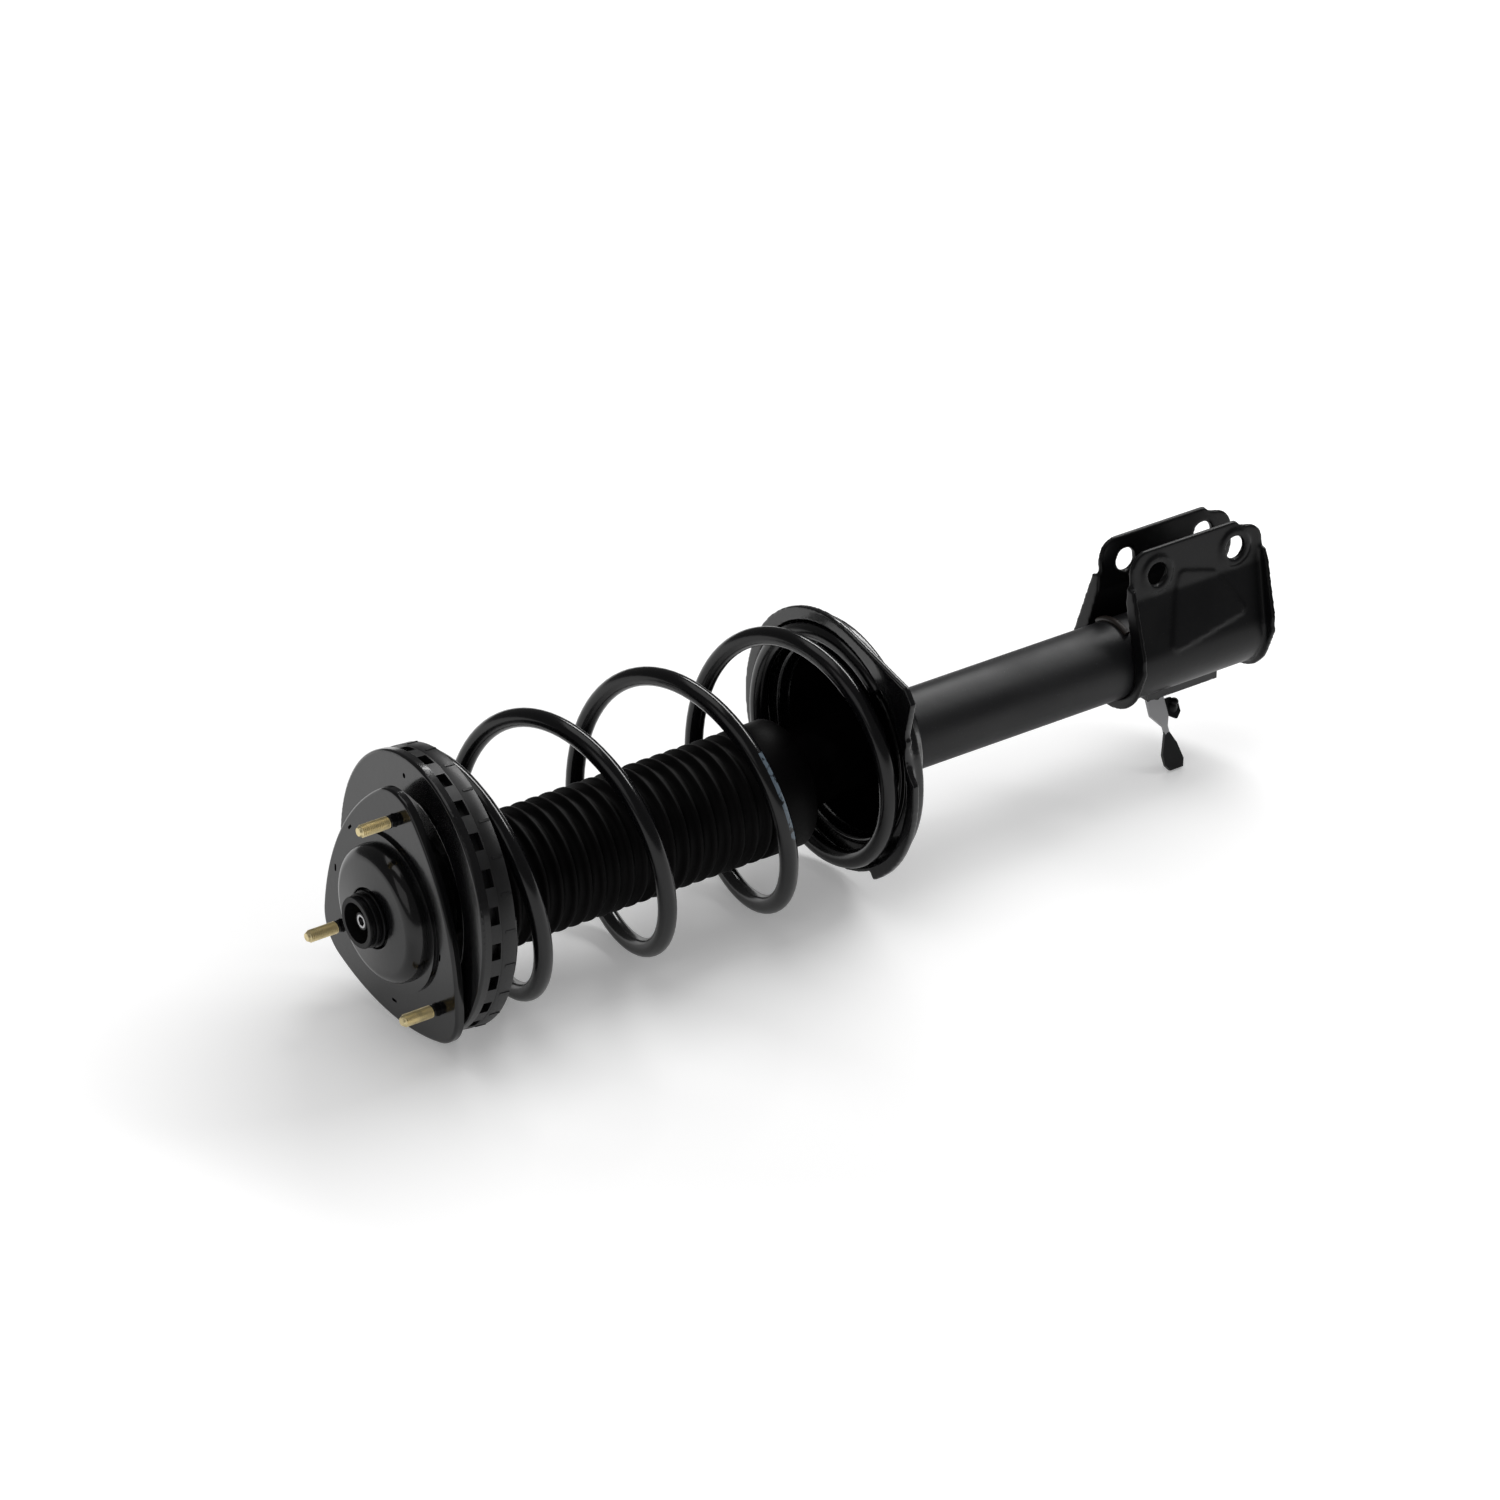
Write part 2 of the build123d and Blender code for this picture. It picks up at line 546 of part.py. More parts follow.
def make_end_cap():
    """A pressed cup that closes the lower end of the tube."""
    outside = TUBE_R - TUBE_WALL - BOND_GAP
    floor_x = TUBE_END_X - CAP_DEPTH
    return turned([
        (floor_x, 0), (floor_x, outside, 2.0), (TUBE_END_X, outside), (TUBE_END_X, outside - TUBE_WALL),
        (floor_x + TUBE_WALL, outside - TUBE_WALL - 2), (floor_x + TUBE_WALL, 0)])


def make_gland_nut():
    """A cap screwed over the upper end of the tube."""
    back = TUBE_FRONT_X - BOND_GAP
    inside = ROD_R + 3.0
    return turned([
        (back, inside), (back - GLAND_LIP, inside, 1.0), (back - GLAND_LIP, TUBE_R, 1.5), (back, TUBE_R)])


def make_rod_seal():
    back = TUBE_FRONT_X + SEAL_THICK - BOND_GAP
    return pipe(TUBE_FRONT_X, back, ROD_R + SLIDE_GAP, TUBE_R - TUBE_WALL - BOND_GAP)


def make_rod_guide():
    front = TUBE_FRONT_X + SEAL_THICK
    outside = TUBE_R - TUBE_WALL - BOND_GAP
    nose = PRESSURE_R - BOND_GAP
    bore = ROD_R + SLIDE_GAP + BUSH_WALL + BOND_GAP
    return turned([
        (front, bore), (front, outside), (GUIDE_BACK_X - 6, outside), (GUIDE_BACK_X - 6, nose),
        (GUIDE_BACK_X, nose), (GUIDE_BACK_X, bore)])


def make_guide_bush():
    inner = ROD_R + SLIDE_GAP
    return pipe(TUBE_FRONT_X + SEAL_THICK, GUIDE_BACK_X, inner, inner + BUSH_WALL)


def make_pressure_tube():
    back = TUBE_END_X - CAP_DEPTH - VALVE_THICK
    return pipe(GUIDE_BACK_X - 6 + BOND_GAP, back - BOND_GAP, PRESSURE_R, PRESSURE_R + PRESSURE_WALL)


def make_base_valve():
    """A stepped disc between the pressure tube and the end cap."""
    back = TUBE_END_X - CAP_DEPTH - BOND_GAP
    front = TUBE_END_X - CAP_DEPTH - VALVE_THICK
    plug = PRESSURE_R - BOND_GAP
    return turned([
        (front - 5, 0), (front - 5, plug), (front, plug), (front, PRESSURE_R + PRESSURE_WALL + 2.0),
        (back, PRESSURE_R + PRESSURE_WALL - 3.0), (back, 0)])


# ---- lower spring seat --------------------------------------------------------------------------
def lower_seat_outline():
    """A round flange with a blunt lug, a hollow beside the lug and its lowest part cut away."""
    root = LOWER_SEAT_R - LOWER_SEAT_THICK
    first, last = LUG_ROOT_ANGLES
    lug = make_face(Polyline(
        polar(LOWER_SEAT_R, first), polar(LUG_R, LUG_TIP_ANGLES[0]), polar(LUG_R, LUG_TIP_ANGLES[1]),
        polar(LOWER_SEAT_R, last), polar(root, last), polar(root / 2, (first + last) / 2), polar(root, first),
        close=True))
    tips = lug.vertices().sort_by(lambda corner: -hypot(corner.X, corner.Y))[:2]
    hollow = Pos(*polar(LOWER_SEAT_R - HOLLOW_DEPTH + HOLLOW_R, HOLLOW_ANGLE)) * Circle(HOLLOW_R)
    near, far = LOWER_SEAT_R / 2, LOWER_SEAT_R * 1.5
    wedge = make_face(Polyline(
        polar(near, CUT_ANGLES[0]), polar(far, CUT_ANGLES[0]), polar(far, CUT_ANGLES[1]),
        polar(near, CUT_ANGLES[1]), close=True))
    return Circle(LOWER_SEAT_R) + fillet(tips, LUG_ROUND) - hollow - wedge


def make_lower_seat():
    """A stamped dish: a flange with a turned edge, a channel and a pilot for the spring, a deep cone."""
    wall = LOWER_SEAT_THICK
    front = LEDGE_X - CHANNEL_DEPTH
    outer_r = LOW_COIL_R + WIRE_R + CHANNEL_GAP
    pilot_r = LOW_COIL_R - WIRE_R - CHANNEL_GAP
    mouth_r = pilot_r - PILOT_WIDTH
    bottom = LEDGE_X + DISH_DEPTH
    across_flange = across(front + LOWER_LIP_DEPTH) * Pos(0, LOW_OFFSET)
    outline = lower_seat_outline()
    flange = extrude(across_flange * outline, LOWER_LIP_DEPTH)
    flange -= extrude(across_flange * offset(outline, -wall), LOWER_LIP_DEPTH - wall)
    flange -= pipe(front - wall, front + LOWER_LIP_DEPTH + wall, 0, outer_r + CHANNEL_FLARE, LOW_OFFSET)
    dish = turned([
        (front, outer_r + CHANNEL_FLARE), (LEDGE_X, outer_r), (LEDGE_X, pilot_r),
        (LEDGE_X - PILOT_HEIGHT, pilot_r, PILOT_ROUND), (LEDGE_X - PILOT_HEIGHT, mouth_r, PILOT_ROUND),
        (LEDGE_X + wall, mouth_r - wall / 2), (bottom, DISH_R, DISH_ROUND), (bottom, 0), (bottom + wall, 0),
        (bottom + wall, DISH_R + wall / 2, DISH_ROUND + wall / 2), (LEDGE_X + wall, pilot_r - wall / 2),
        (LEDGE_X + wall, outer_r + wall, wall / 2), (front, outer_r + CHANNEL_FLARE + wall)], LOW_OFFSET)
    hub_r = TUBE_R + BOND_GAP + SLEEVE_HUB_WALL
    hub_back = bottom + SLEEVE_HUB_LENGTH
    seat = flange + dish + pipe(bottom, hub_back, TUBE_R, hub_r)
    return seat - pipe(bottom - wall, hub_back + wall, 0, TUBE_R + BOND_GAP)


# ---- knuckle bracket ----------------------------------------------------------------------------
def bracket_section(half_width, wrap_r, top_z, knee_z):
    """A round wrap with two sides that lean in to upright ears, as a filled section."""
    reach = hypot(half_width, knee_z)
    tangent_angle = atan2(knee_z, half_width) - acos(wrap_r / reach)
    tangent = (wrap_r * cos(tangent_angle), wrap_r * sin(tangent_angle))
    right = [(half_width, top_z), (half_width, knee_z), tangent]
    left = [(-u, w) for u, w in reversed(right)]
    return make_face(Polyline(*right, *left, close=True)) + Circle(wrap_r)


def across_bracket(outline):
    """A bar along Y with this outline in X and Z."""
    return extrude(Plane.XZ * outline, 2 * FLANGE_HALF, both=True)


def bracket_side(ear_front, ear_back, end_x, low_z):
    """The bracket seen from the side: ears with a lower lobe round the last bolt, above a shorter wrap."""
    lobe_z = EAR_TOP_Z - 2 * EAR_STEP
    lobe_x = ear_back - EAR_LOBE_LENGTH
    side = make_face(Polyline(
        (BRACKET_X, low_z), (BRACKET_X, FRONT_FLARE_Z[1]), (ear_front - FRONT_FLARE_STEP, FRONT_FLARE_Z[0]),
        (ear_front, FRONT_FLARE_Z[0] + FRONT_FLARE_STEP), (ear_front, EAR_TOP_Z), (lobe_x, EAR_TOP_Z),
        (lobe_x + EAR_STEP, EAR_TOP_Z - EAR_STEP), (ear_back, lobe_z),
        (ear_back, BACK_FLARE_Z[0]), (end_x, BACK_FLARE_Z[1]), (end_x, low_z), close=True))
    for point, bend in (((ear_front, EAR_TOP_Z), EAR_CORNER), ((ear_back, lobe_z), EAR_LOBE_ROUND)):
        side = fillet(side.vertices().sort_by_distance((*point, 0))[0], bend)
    return side


def flange_outline():
    """The turned-out ends seen from the end: a ring under the tube, with a wing up each side."""
    right = [(FLANGE_TOP_HALF, FLANGE_TOP_Z), (FLANGE_HALF, FLANGE_WIDE_Z), (FLANGE_HALF, 0)]
    right.append(polar(FLANGE_R, FLANGE_FOOT_ANGLE))
    left = [(-sideways, z) for sideways, z in reversed(right)]
    return make_face(Polyline(*right, *left, close=True)) + Circle(FLANGE_R)


def flange_band(top_x, wrap_x, flare_z, thick, low_z):
    """The strip of side view that an end flange takes, from ear to wrap."""
    edge = [(wrap_x, low_z), (wrap_x, flare_z[1]), (top_x, flare_z[0]), (top_x, EAR_TOP_Z)]
    inner_edge = [(x + thick, z) for x, z in reversed(edge)]
    return make_face(Polyline(*edge, *inner_edge, close=True))


def make_knuckle_bracket():
    """One sheet wrapped round the tube, with two ears, pressed pads and turned-out ends."""
    end_x = BRACKET_X + BRACKET_LENGTH
    ear_front = BRACKET_X + EAR_FRONT_SETBACK
    ear_back = end_x + EAR_OVERHANG
    wrap_r = TUBE_R + BOND_GAP + BRACKET_SHEET
    low_z = -2 * wrap_r
    outer = bracket_section(EAR_OUTSIDE, wrap_r, EAR_TOP_Z, EAR_KNEE_Z)
    inner = bracket_section(
        EAR_OUTSIDE - BRACKET_SHEET, TUBE_R + BOND_GAP, EAR_TOP_Z + BRACKET_SHEET, EAR_KNEE_Z - EAR_KNEE_LIFT)
    whole = ear_back - BRACKET_X
    sheet = extrude(across(ear_back) * (outer - inner), whole)
    sheet &= across_bracket(bracket_side(ear_front, ear_back, end_x, low_z))
    lip = extrude(across(ear_back) * (flange_outline() - inner), whole)
    front_top = ear_front - FRONT_FLARE_STEP
    sheet += lip & across_bracket(flange_band(front_top, BRACKET_X, FRONT_FLARE_Z, FLANGE_THICK, low_z))
    sheet += lip & across_bracket(flange_band(ear_back, end_x, BACK_FLARE_Z, -FLANGE_THICK, low_z))
    first_bolt = BRACKET_X + BOLT_EDGE
    panel = make_face(Polyline(*[(first_bolt + x, z) for x, z in PANEL_CORNERS], close=True))
    swollen = bracket_section(EAR_OUTSIDE + PANEL_HEIGHT, wrap_r + PANEL_HEIGHT, EAR_TOP_Z, EAR_KNEE_Z)
    raised = extrude(across(end_x) * (swollen - inner), BRACKET_LENGTH)
    sheet += raised & across_bracket(fillet(panel.vertices(), PANEL_ROUND))
    for x in (first_bolt, first_bolt + BOLT_SPACING):
        middle = Pos(x, 0, BOLT_Z) * Rot(90, 0, 0)
        pad = middle * Cylinder(BOLT_PAD_R, 2 * (EAR_OUTSIDE + BOLT_PAD_HEIGHT))
        gap = Pos(x, 0, BOLT_Z) * Box(4 * BOLT_PAD_R, 2 * (EAR_OUTSIDE - BRACKET_SHEET), 4 * BOLT_PAD_R)
        sheet += pad - gap
        sheet -= middle * Cylinder(BOLT_R, 4 * EAR_OUTSIDE)
    return Rot(BRACKET_ROLL, 0, 0) * sheet


# ---- hose bracket -------------------------------------------------------------------------------
def hose_plane():
    """The leaning plane of the hose tab, with its y down the tab."""
    lean = radians(TAB_LEAN)
    return Plane(origin=(0, TAB_Y, TAB_Z), x_dir=(1, 0, 0), z_dir=(0, cos(lean), -sin(lean)))


def make_hose_bracket():
    """A strip under the knuckle bracket and a leaning tab with a narrow neck and a foot."""
    strip = Box(STRIP_LENGTH, STRIP_WIDTH, STRIP_DEPTH * 2)
    strip = Pos(STRIP_X + STRIP_LENGTH / 2, 0, TAB_Z + HOSE_SHEET) * strip
    wrap_r = TUBE_R + BRACKET_SHEET + 2 * BOND_GAP
    strip -= pipe(STRIP_X - 1, STRIP_X + STRIP_LENGTH + 1, 0, wrap_r)
    foot_s = (TAB_Z - FLOOR_Z - HOSE_SHEET / 2 * sin(radians(TAB_LEAN))) / cos(radians(TAB_LEAN))
    left = STRIP_X
    outline = make_face(Polyline(
        (left, -3), (left - 0.5, 12), (left + 7, 21), (left + 7, 25), (left + 1, 38), (left + 1, 45),
        (left + 4, foot_s), (left + 14, foot_s), (left + 16, 44), (left + 14, 33), (left + 10.5, 25),
        (left + 10.5, 21), (left + 13, 15), (left + 13, -3), close=True))
    outline = fillet(outline.vertices().sort_by(Axis.Y)[2:-2], 1.2)
    tab = extrude(hose_plane() * outline, HOSE_SHEET / 2, both=True)
    return strip + tab


def make_hose_clip():
    """An eye on the edge of the tab, for the hose."""
    left = STRIP_X + 13 + BOND_GAP
    outline = make_face(Polyline(
        (left, 4), (left + 5, 4), (left + 10, 9), (left + 10, 15), (left + 6, 19), (left, 15), close=True))
    outline = fillet(outline.vertices(), 1.0) - Pos(left + 5, 10.5) * Circle(CLIP_HOLE_R)
    return extrude(hose_plane() * outline, CLIP_THICK / 2, both=True)


def group(solids, label):
    """Several separate solids under one name."""
    return Compound(label=label, children=list(solids))


def build():
    """Every piece by its name."""
    return {
        "mount_plate": make_mount_plate(),
        "tower_studs": group([make_tower_stud(angle) for angle in STUD_ANGLES], "tower_studs"),
        "mount_cup": make_mount_cup(),
        "mount_rubber": make_mount_rubber(),
        "bearing_housing": make_bearing_housing(),
        "bearing_outer_race": make_outer_race(),
        "bearing_balls": group([make_ball(index) for index in range(BALL_COUNT)], "bearing_balls"),
        "bearing_retainer": make_retainer(),
        "bearing_inner_race": make_inner_race(),
        "seat_spacer": pipe(BEARING_BACK_X, SPACER_BACK_X, ROD_THREAD_R + BOND_GAP, ROD_THREAD_R + SPACER_WALL),
        "rod_washer": pipe(WASHER_FRONT_X, BEARING_FRONT_X, ROD_THREAD_R + BOND_GAP, WASHER_R),
        "rod_nut": hexagon_nut(WASHER_FRONT_X - NUT_HEIGHT, NUT_HEIGHT, NUT_FLATS, ROD_THREAD_R + BOND_GAP),
        "piston_rod": make_piston_rod(),
        "piston": make_piston(),
        "piston_band": make_piston_band(),
        "piston_nut": hexagon_nut(PISTON_BACK_X, PISTON_NUT_HEIGHT, PISTON_NUT_FLATS, PISTON_SEAT_R + BOND_GAP),
        "rebound_stop": make_rebound_stop(),
        "bump_stop": make_bump_stop(),
        "upper_spring_seat": make_upper_seat(),
        "upper_insulator": make_insulator(),
        "dust_boot": make_dust_boot(),
        "coil_spring": make_coil_spring(),
        "strut_tube": make_strut_tube(),
        "tube_end_cap": make_end_cap(),
        "gland_nut": make_gland_nut(),
        "rod_seal": make_rod_seal(),
        "rod_guide": make_rod_guide(),
        "guide_bush": make_guide_bush(),
        "pressure_tube": make_pressure_tube(),
        "base_valve": make_base_valve(),
        "lower_spring_seat": make_lower_seat(),
        "knuckle_bracket": make_knuckle_bracket(),
        "hose_bracket": make_hose_bracket(),
        "hose_clip": make_hose_clip(),
    }


os.makedirs("parts", exist_ok=True)
for name, shape in build().items():
    export_step(shape, f"parts/{name}.step")
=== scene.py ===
"""Dresses a car's front suspension strut: top mount, spring, boot, damper tube and knuckle bracket.

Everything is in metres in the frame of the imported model: the rod's axis is X, the origin is in the
face of the top mount, +X runs down the strut and +Z is up as the strut lies on the floor.
"""

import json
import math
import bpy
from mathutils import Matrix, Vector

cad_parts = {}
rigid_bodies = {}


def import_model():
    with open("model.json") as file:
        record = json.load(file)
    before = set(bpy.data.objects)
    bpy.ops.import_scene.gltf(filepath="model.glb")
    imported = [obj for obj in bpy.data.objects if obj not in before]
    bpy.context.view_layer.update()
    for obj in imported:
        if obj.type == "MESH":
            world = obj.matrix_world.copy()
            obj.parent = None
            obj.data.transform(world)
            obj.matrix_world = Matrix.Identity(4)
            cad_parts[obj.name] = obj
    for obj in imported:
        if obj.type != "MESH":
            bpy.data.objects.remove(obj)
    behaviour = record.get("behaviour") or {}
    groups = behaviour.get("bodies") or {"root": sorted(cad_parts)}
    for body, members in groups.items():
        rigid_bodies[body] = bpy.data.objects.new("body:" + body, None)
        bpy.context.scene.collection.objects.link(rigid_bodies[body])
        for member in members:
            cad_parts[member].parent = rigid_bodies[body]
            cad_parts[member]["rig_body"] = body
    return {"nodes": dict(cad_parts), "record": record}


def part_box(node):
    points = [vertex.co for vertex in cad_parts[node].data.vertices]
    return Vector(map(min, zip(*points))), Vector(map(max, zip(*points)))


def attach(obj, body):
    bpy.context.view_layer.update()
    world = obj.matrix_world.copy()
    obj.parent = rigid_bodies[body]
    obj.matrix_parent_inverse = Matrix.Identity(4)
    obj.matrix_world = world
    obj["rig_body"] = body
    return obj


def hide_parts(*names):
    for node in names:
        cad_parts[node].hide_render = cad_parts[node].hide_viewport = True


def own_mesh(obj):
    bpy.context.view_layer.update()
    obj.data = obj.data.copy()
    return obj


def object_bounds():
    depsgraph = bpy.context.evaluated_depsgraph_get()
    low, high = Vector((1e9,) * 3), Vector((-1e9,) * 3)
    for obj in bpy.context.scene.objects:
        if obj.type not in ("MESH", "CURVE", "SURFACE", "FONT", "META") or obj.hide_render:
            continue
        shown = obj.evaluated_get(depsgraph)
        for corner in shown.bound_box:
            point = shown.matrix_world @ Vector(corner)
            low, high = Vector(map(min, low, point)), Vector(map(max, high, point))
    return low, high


bl_info = {
    "name": "Suspension Strut",
    "version": (1, 0, 0),
    "blender": (4, 5, 0),
    "location": "3D View > Sidebar > Strut",
    "description": "Builds the looks of a front suspension strut round its packed model",
    "category": "Object",
}

import bmesh
import bpy
from mathutils import Matrix, Vector

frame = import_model()
CAD_BOX = [list(corner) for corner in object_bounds()]

# How the leaning parts lie
SEAT_FACE_X = 0.0145                # middle of the upper seat's face on the spring's axis
SEAT_LEAN_Z = math.radians(-4.0)    # lean of the upper seat and the spring's closed upper end
SEAT_LEAN_Y = math.radians(2.2)
BRACKET_ROLL = math.radians(-5.6)   # middle of the bracket's opening, measured from +Z

# Meshes
TOUCH = 0.000002                    # points nearer than this are one point
ON_RING = 0.00002                   # how near a point lies to the ring that it belongs to
FLAT = math.radians(0.5)            # faces that meet at less are one face
EDGE = 0.0003                       # usual width of a softened edge
FINE_EDGE = 0.0002
PRESS_GRAIN = 0.001                 # grid on which the edges of a pressing are rounded

# Spring, boot and pad
WIRE_SIDES = 24                     # sides of the round wire
WIRE_STEPS = 72                     # steps in one turn of the wire
WIRE_RIM = 0.0008                   # bevel round the wire's cut ends
PAD_GAP = 0.0003                    # air between the closed upper turn and its pad
BOOT_FOLD = (                       # one fold: share of its length, share of its depth
    (0.0, 1.0), (0.16, 0.93), (0.3, 0.42), (0.4, 0.06), (0.44, 0.0), (0.56, 0.0), (0.6, 0.06), (0.7, 0.42),
    (0.84, 0.93))
BOOT_STEPS = 96                     # steps round a turned piece
COLLAR_LENGTHS = (0.0015, 0.003)    # where the collar's first edge starts and ends
COLLAR_CUT = 0.0012                 # how deep the collar's edges are cut back
PAD_EDGE = 0.0008
LIP_STEPS = 144
LIP_ROOT = 0.002                    # how far the pad's lip is sunk into the pad
LIP_EDGE = 0.0004
MARK_SHARE = 0.9                    # length of a mould mark as a share of the lip
MARK_SIZE = (0.0016, 0.0008)

# Mount, seat and bracket
STUD_SHADED_ROOT = 0.0022                  # length of stud before the plate that is painted black as shade
STUD_HEAD_AT = 0.75                 # where the head starts, as a share of the way through the plate
BAR_SIDES = 40
THREAD_STEPS = 24                   # steps in one turn of the thread
THREAD_HALF = 0.44                  # half the width of the ridge, as a share of the pitch
THREAD_FOOT = 0.0001                # how deep the ridge is sunk into the core
THREAD_START = 0.6                  # where the ridge starts, as a share of the tip
THREAD_RUN_OUT = 0.3                # how far it runs onto the plain part, as a share of the pitch
CUP_STEPS = 128
CUP_EDGE = 0.001
CUP_CORNER = 0.002
SHADED_TUBE_LENGTH = 0.01                # the tube carries painted shade up to this far before the lower seat's back, inside the seat
DISH_DEPTH = 0.014                  # the painted shade on the dish's floor starts this far behind its rim
DISH_WIDTH = 0.045                  # and reaches this far out from the tube
DISH_HEIGHT = 0.01                  # height of the dish's middle over the rod
FACES_BACK = 0.2                    # a face whose normal has more X than this is on the dish's back
FACES_OUT = 0.004                   # and one that faces further outwards is on its outside
SEAT_WELD_OUT, SEAT_WELD_WIDTH = 0.0006, 0.0018             # how far out of the tube, and its radius
BRACKET_WELD_OUT, BRACKET_WELD_WIDTH = 0.0008, 0.0022
BRACKET_WELD_X = 0.004              # how far behind the bracket's front end the bead lies
BRACKET_WELD_HALF = math.radians(34)
WELD_SIDES = 10
WELD_STEP = 0.0011                  # length of one step of a weld
WELD_WAVE = 0.0028                  # length of one ripple of a weld
WELD_RIPPLE = 0.0045                # height of a ripple as a share of the radius
CLIP_PLUGS = (                      # share of the clip's box where each blob lies, and its size
    ((0.5, 0.5, 0.52), (0.007, 0.006, 0.0085)),
    ((0.62, 0.5, 0.8), (0.006, 0.006, 0.005)))

# Where finishes change on a piece: the middle of a band and half its width
DAB_SLOPE = (1, 0, 0.19)            # the dabs follow the climb of the coil
DAB_BAND = (0.2370, 0.0017)
DAB_Y = (-0.072, 0.017)
DAB_Z = (0.037, 0.027)
ROD_BLACK_X = (-0.01, 0.014)
ROD_RING = (0.0040, 0.0044)         # radius where the bright ring round the socket ends
ROD_BLACK = (0.012, 0.012, 0.013)
BARE_TAB_Z = (-0.0445, 0.0105)
RAGGED = 0.005                      # how far the paint's edge on the tab wanders

# Stage
LAMP_TARGET = Vector((0.3, 0, 0))
FLOOR_GAP = 0.0002
FLOOR_LIFT_REACH = (0.35, 1.3)      # how far from the strut the floor's lift starts and ends


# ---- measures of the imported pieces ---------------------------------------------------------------
def front_of(node):
    """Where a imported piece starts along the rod's axis."""
    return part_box(node)[0].x


def back_of(node):
    """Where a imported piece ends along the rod's axis."""
    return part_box(node)[1].x


def radius_of(node):
    """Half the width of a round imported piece."""
    low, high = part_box(node)
    return (high.y - low.y) / 2


def height_of(node):
    """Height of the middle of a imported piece."""
    low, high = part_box(node)
    return (high.z + low.z) / 2


def body_of(node):
    """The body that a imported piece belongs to."""
    return frame["nodes"][node]["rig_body"]


# ---- mesh helpers --------------------------------------------------------------------------------
def to_piece(name, bm, finish, body, replaced=(), sharp_angle=40, even=False):
    """Makes a shaded object of a bmesh, sets it on a body and hides what it stands for."""
    mesh = bpy.data.meshes.new(name)
    bm.to_mesh(mesh)
    bm.free()
    mesh.polygons.foreach_set("use_smooth", [True] * len(mesh.polygons))
    mesh.set_sharp_from_angle(angle=math.radians(sharp_angle))
    piece = bpy.data.objects.new(name, mesh)
    bpy.context.scene.collection.objects.link(piece)
    mesh.materials.append(finish)
    if even:
        shading = piece.modifiers.new("even_shading", "WEIGHTED_NORMAL")
        shading.keep_sharp = True
        shading.weight = 100
    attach(piece, body)
    if replaced:
        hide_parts(*replaced)
    return piece


def ring_from(bm, points, axis_z, steps):
    """Spins a closed (x, radius) outline once round a line along X at the height axis_z."""
    verts = [bm.verts.new((x, 0, axis_z + radius)) for x, radius in points]
    edges = [bm.edges.new(pair) for pair in zip(verts, verts[1:] + verts[:1])]
    bmesh.ops.spin(
        bm, geom=verts + edges, cent=(0, 0, axis_z), axis=(1, 0, 0), angle=math.tau, steps=steps,
        use_merge=True)
    bmesh.ops.recalc_face_normals(bm, faces=bm.faces)


def bevel(bm, edges, width, segments):
    """Rounds edges."""
    bmesh.ops.bevel(
        bm, geom=edges, offset=width, offset_type="OFFSET", segments=segments, profile=0.5, affect="EDGES",
        material=-1, clamp_overlap=True)


def soften(bm, width, angle=28):
    """Bevels every edge that is sharper than an angle."""
    limit = math.radians(angle)
    bevel(bm, [
        edge for edge in bm.edges if len(edge.link_faces) == 2 and edge.calc_face_angle(0) > limit], width, 2)


def round_ring(bm, x, radius, width, segments):
    """Rounds the ring of edges that stands at one place and radius of a turned piece."""
    def on_ring(vert):
        reach = math.hypot(vert.co.y, vert.co.z)
        return abs(vert.co.x - x) < ON_RING and abs(reach - radius) < ON_RING
    bevel(bm, [edge for edge in bm.edges if all(on_ring(vert) for vert in edge.verts)], width, segments)


def joined_copy(node):
    """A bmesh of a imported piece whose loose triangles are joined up."""
    bm = bmesh.new()
    bm.from_mesh(frame["nodes"][node].data)
    bmesh.ops.remove_doubles(bm, verts=bm.verts, dist=TOUCH)
    return bm


def dress(node, name, finish, edge=EDGE):
    """A joined-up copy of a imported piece, with softened edges and its own finish."""
    bm = joined_copy(node)
    bmesh.ops.dissolve_limit(bm, angle_limit=FLAT, verts=bm.verts, edges=bm.edges)
    if edge:
        soften(bm, edge)
    return to_piece(name, bm, finish, body_of(node), [node], even=True)


def pressed(node, name, finish, passes):
    """A copy of a packed sheet-metal piece whose edges are rounded as a press leaves them."""
    bm = joined_copy(node)
    rough = bpy.data.meshes.new(name + "_rough")
    bm.to_mesh(rough)
    bm.free()
    holder = bpy.data.objects.new(name + "_rough", rough)
    bpy.context.scene.collection.objects.link(holder)
    evening = holder.modifiers.new("evening", "REMESH")
    evening.mode = "VOXEL"
    evening.voxel_size = PRESS_GRAIN
    even = bpy.data.meshes.new_from_object(holder.evaluated_get(bpy.context.evaluated_depsgraph_get()))
    bm = bmesh.new()
    bm.from_mesh(even)
    for _ in range(passes):
        bmesh.ops.smooth_vert(
            bm, verts=bm.verts, factor=0.5, use_axis_x=True, use_axis_y=True, use_axis_z=True)
    bpy.data.objects.remove(holder)
    bpy.data.meshes.remove(rough)
    bpy.data.meshes.remove(even)
    return to_piece(name, bm, finish, body_of(node), [node], sharp_angle=80)


def cut_across(piece, x):
    """Cuts a piece's faces along a plane across X, so that each side can have its own finish."""
    bm = bmesh.new()
    bm.from_mesh(piece.data)
    bmesh.ops.bisect_plane(
        bm, geom=bm.verts[:] + bm.edges[:] + bm.faces[:], dist=TOUCH / 2, plane_co=(x, 0, 0),
        plane_no=(1, 0, 0))
    bm.to_mesh(piece.data)
    bm.free()


def shade_faces(piece, look, inside):
    """Gives the faces whose middles pass a test a second finish."""
    piece.data.materials.append(finish(look))
    for face in piece.data.polygons:
        if inside(face.center, face.normal):
            face.material_index = 1


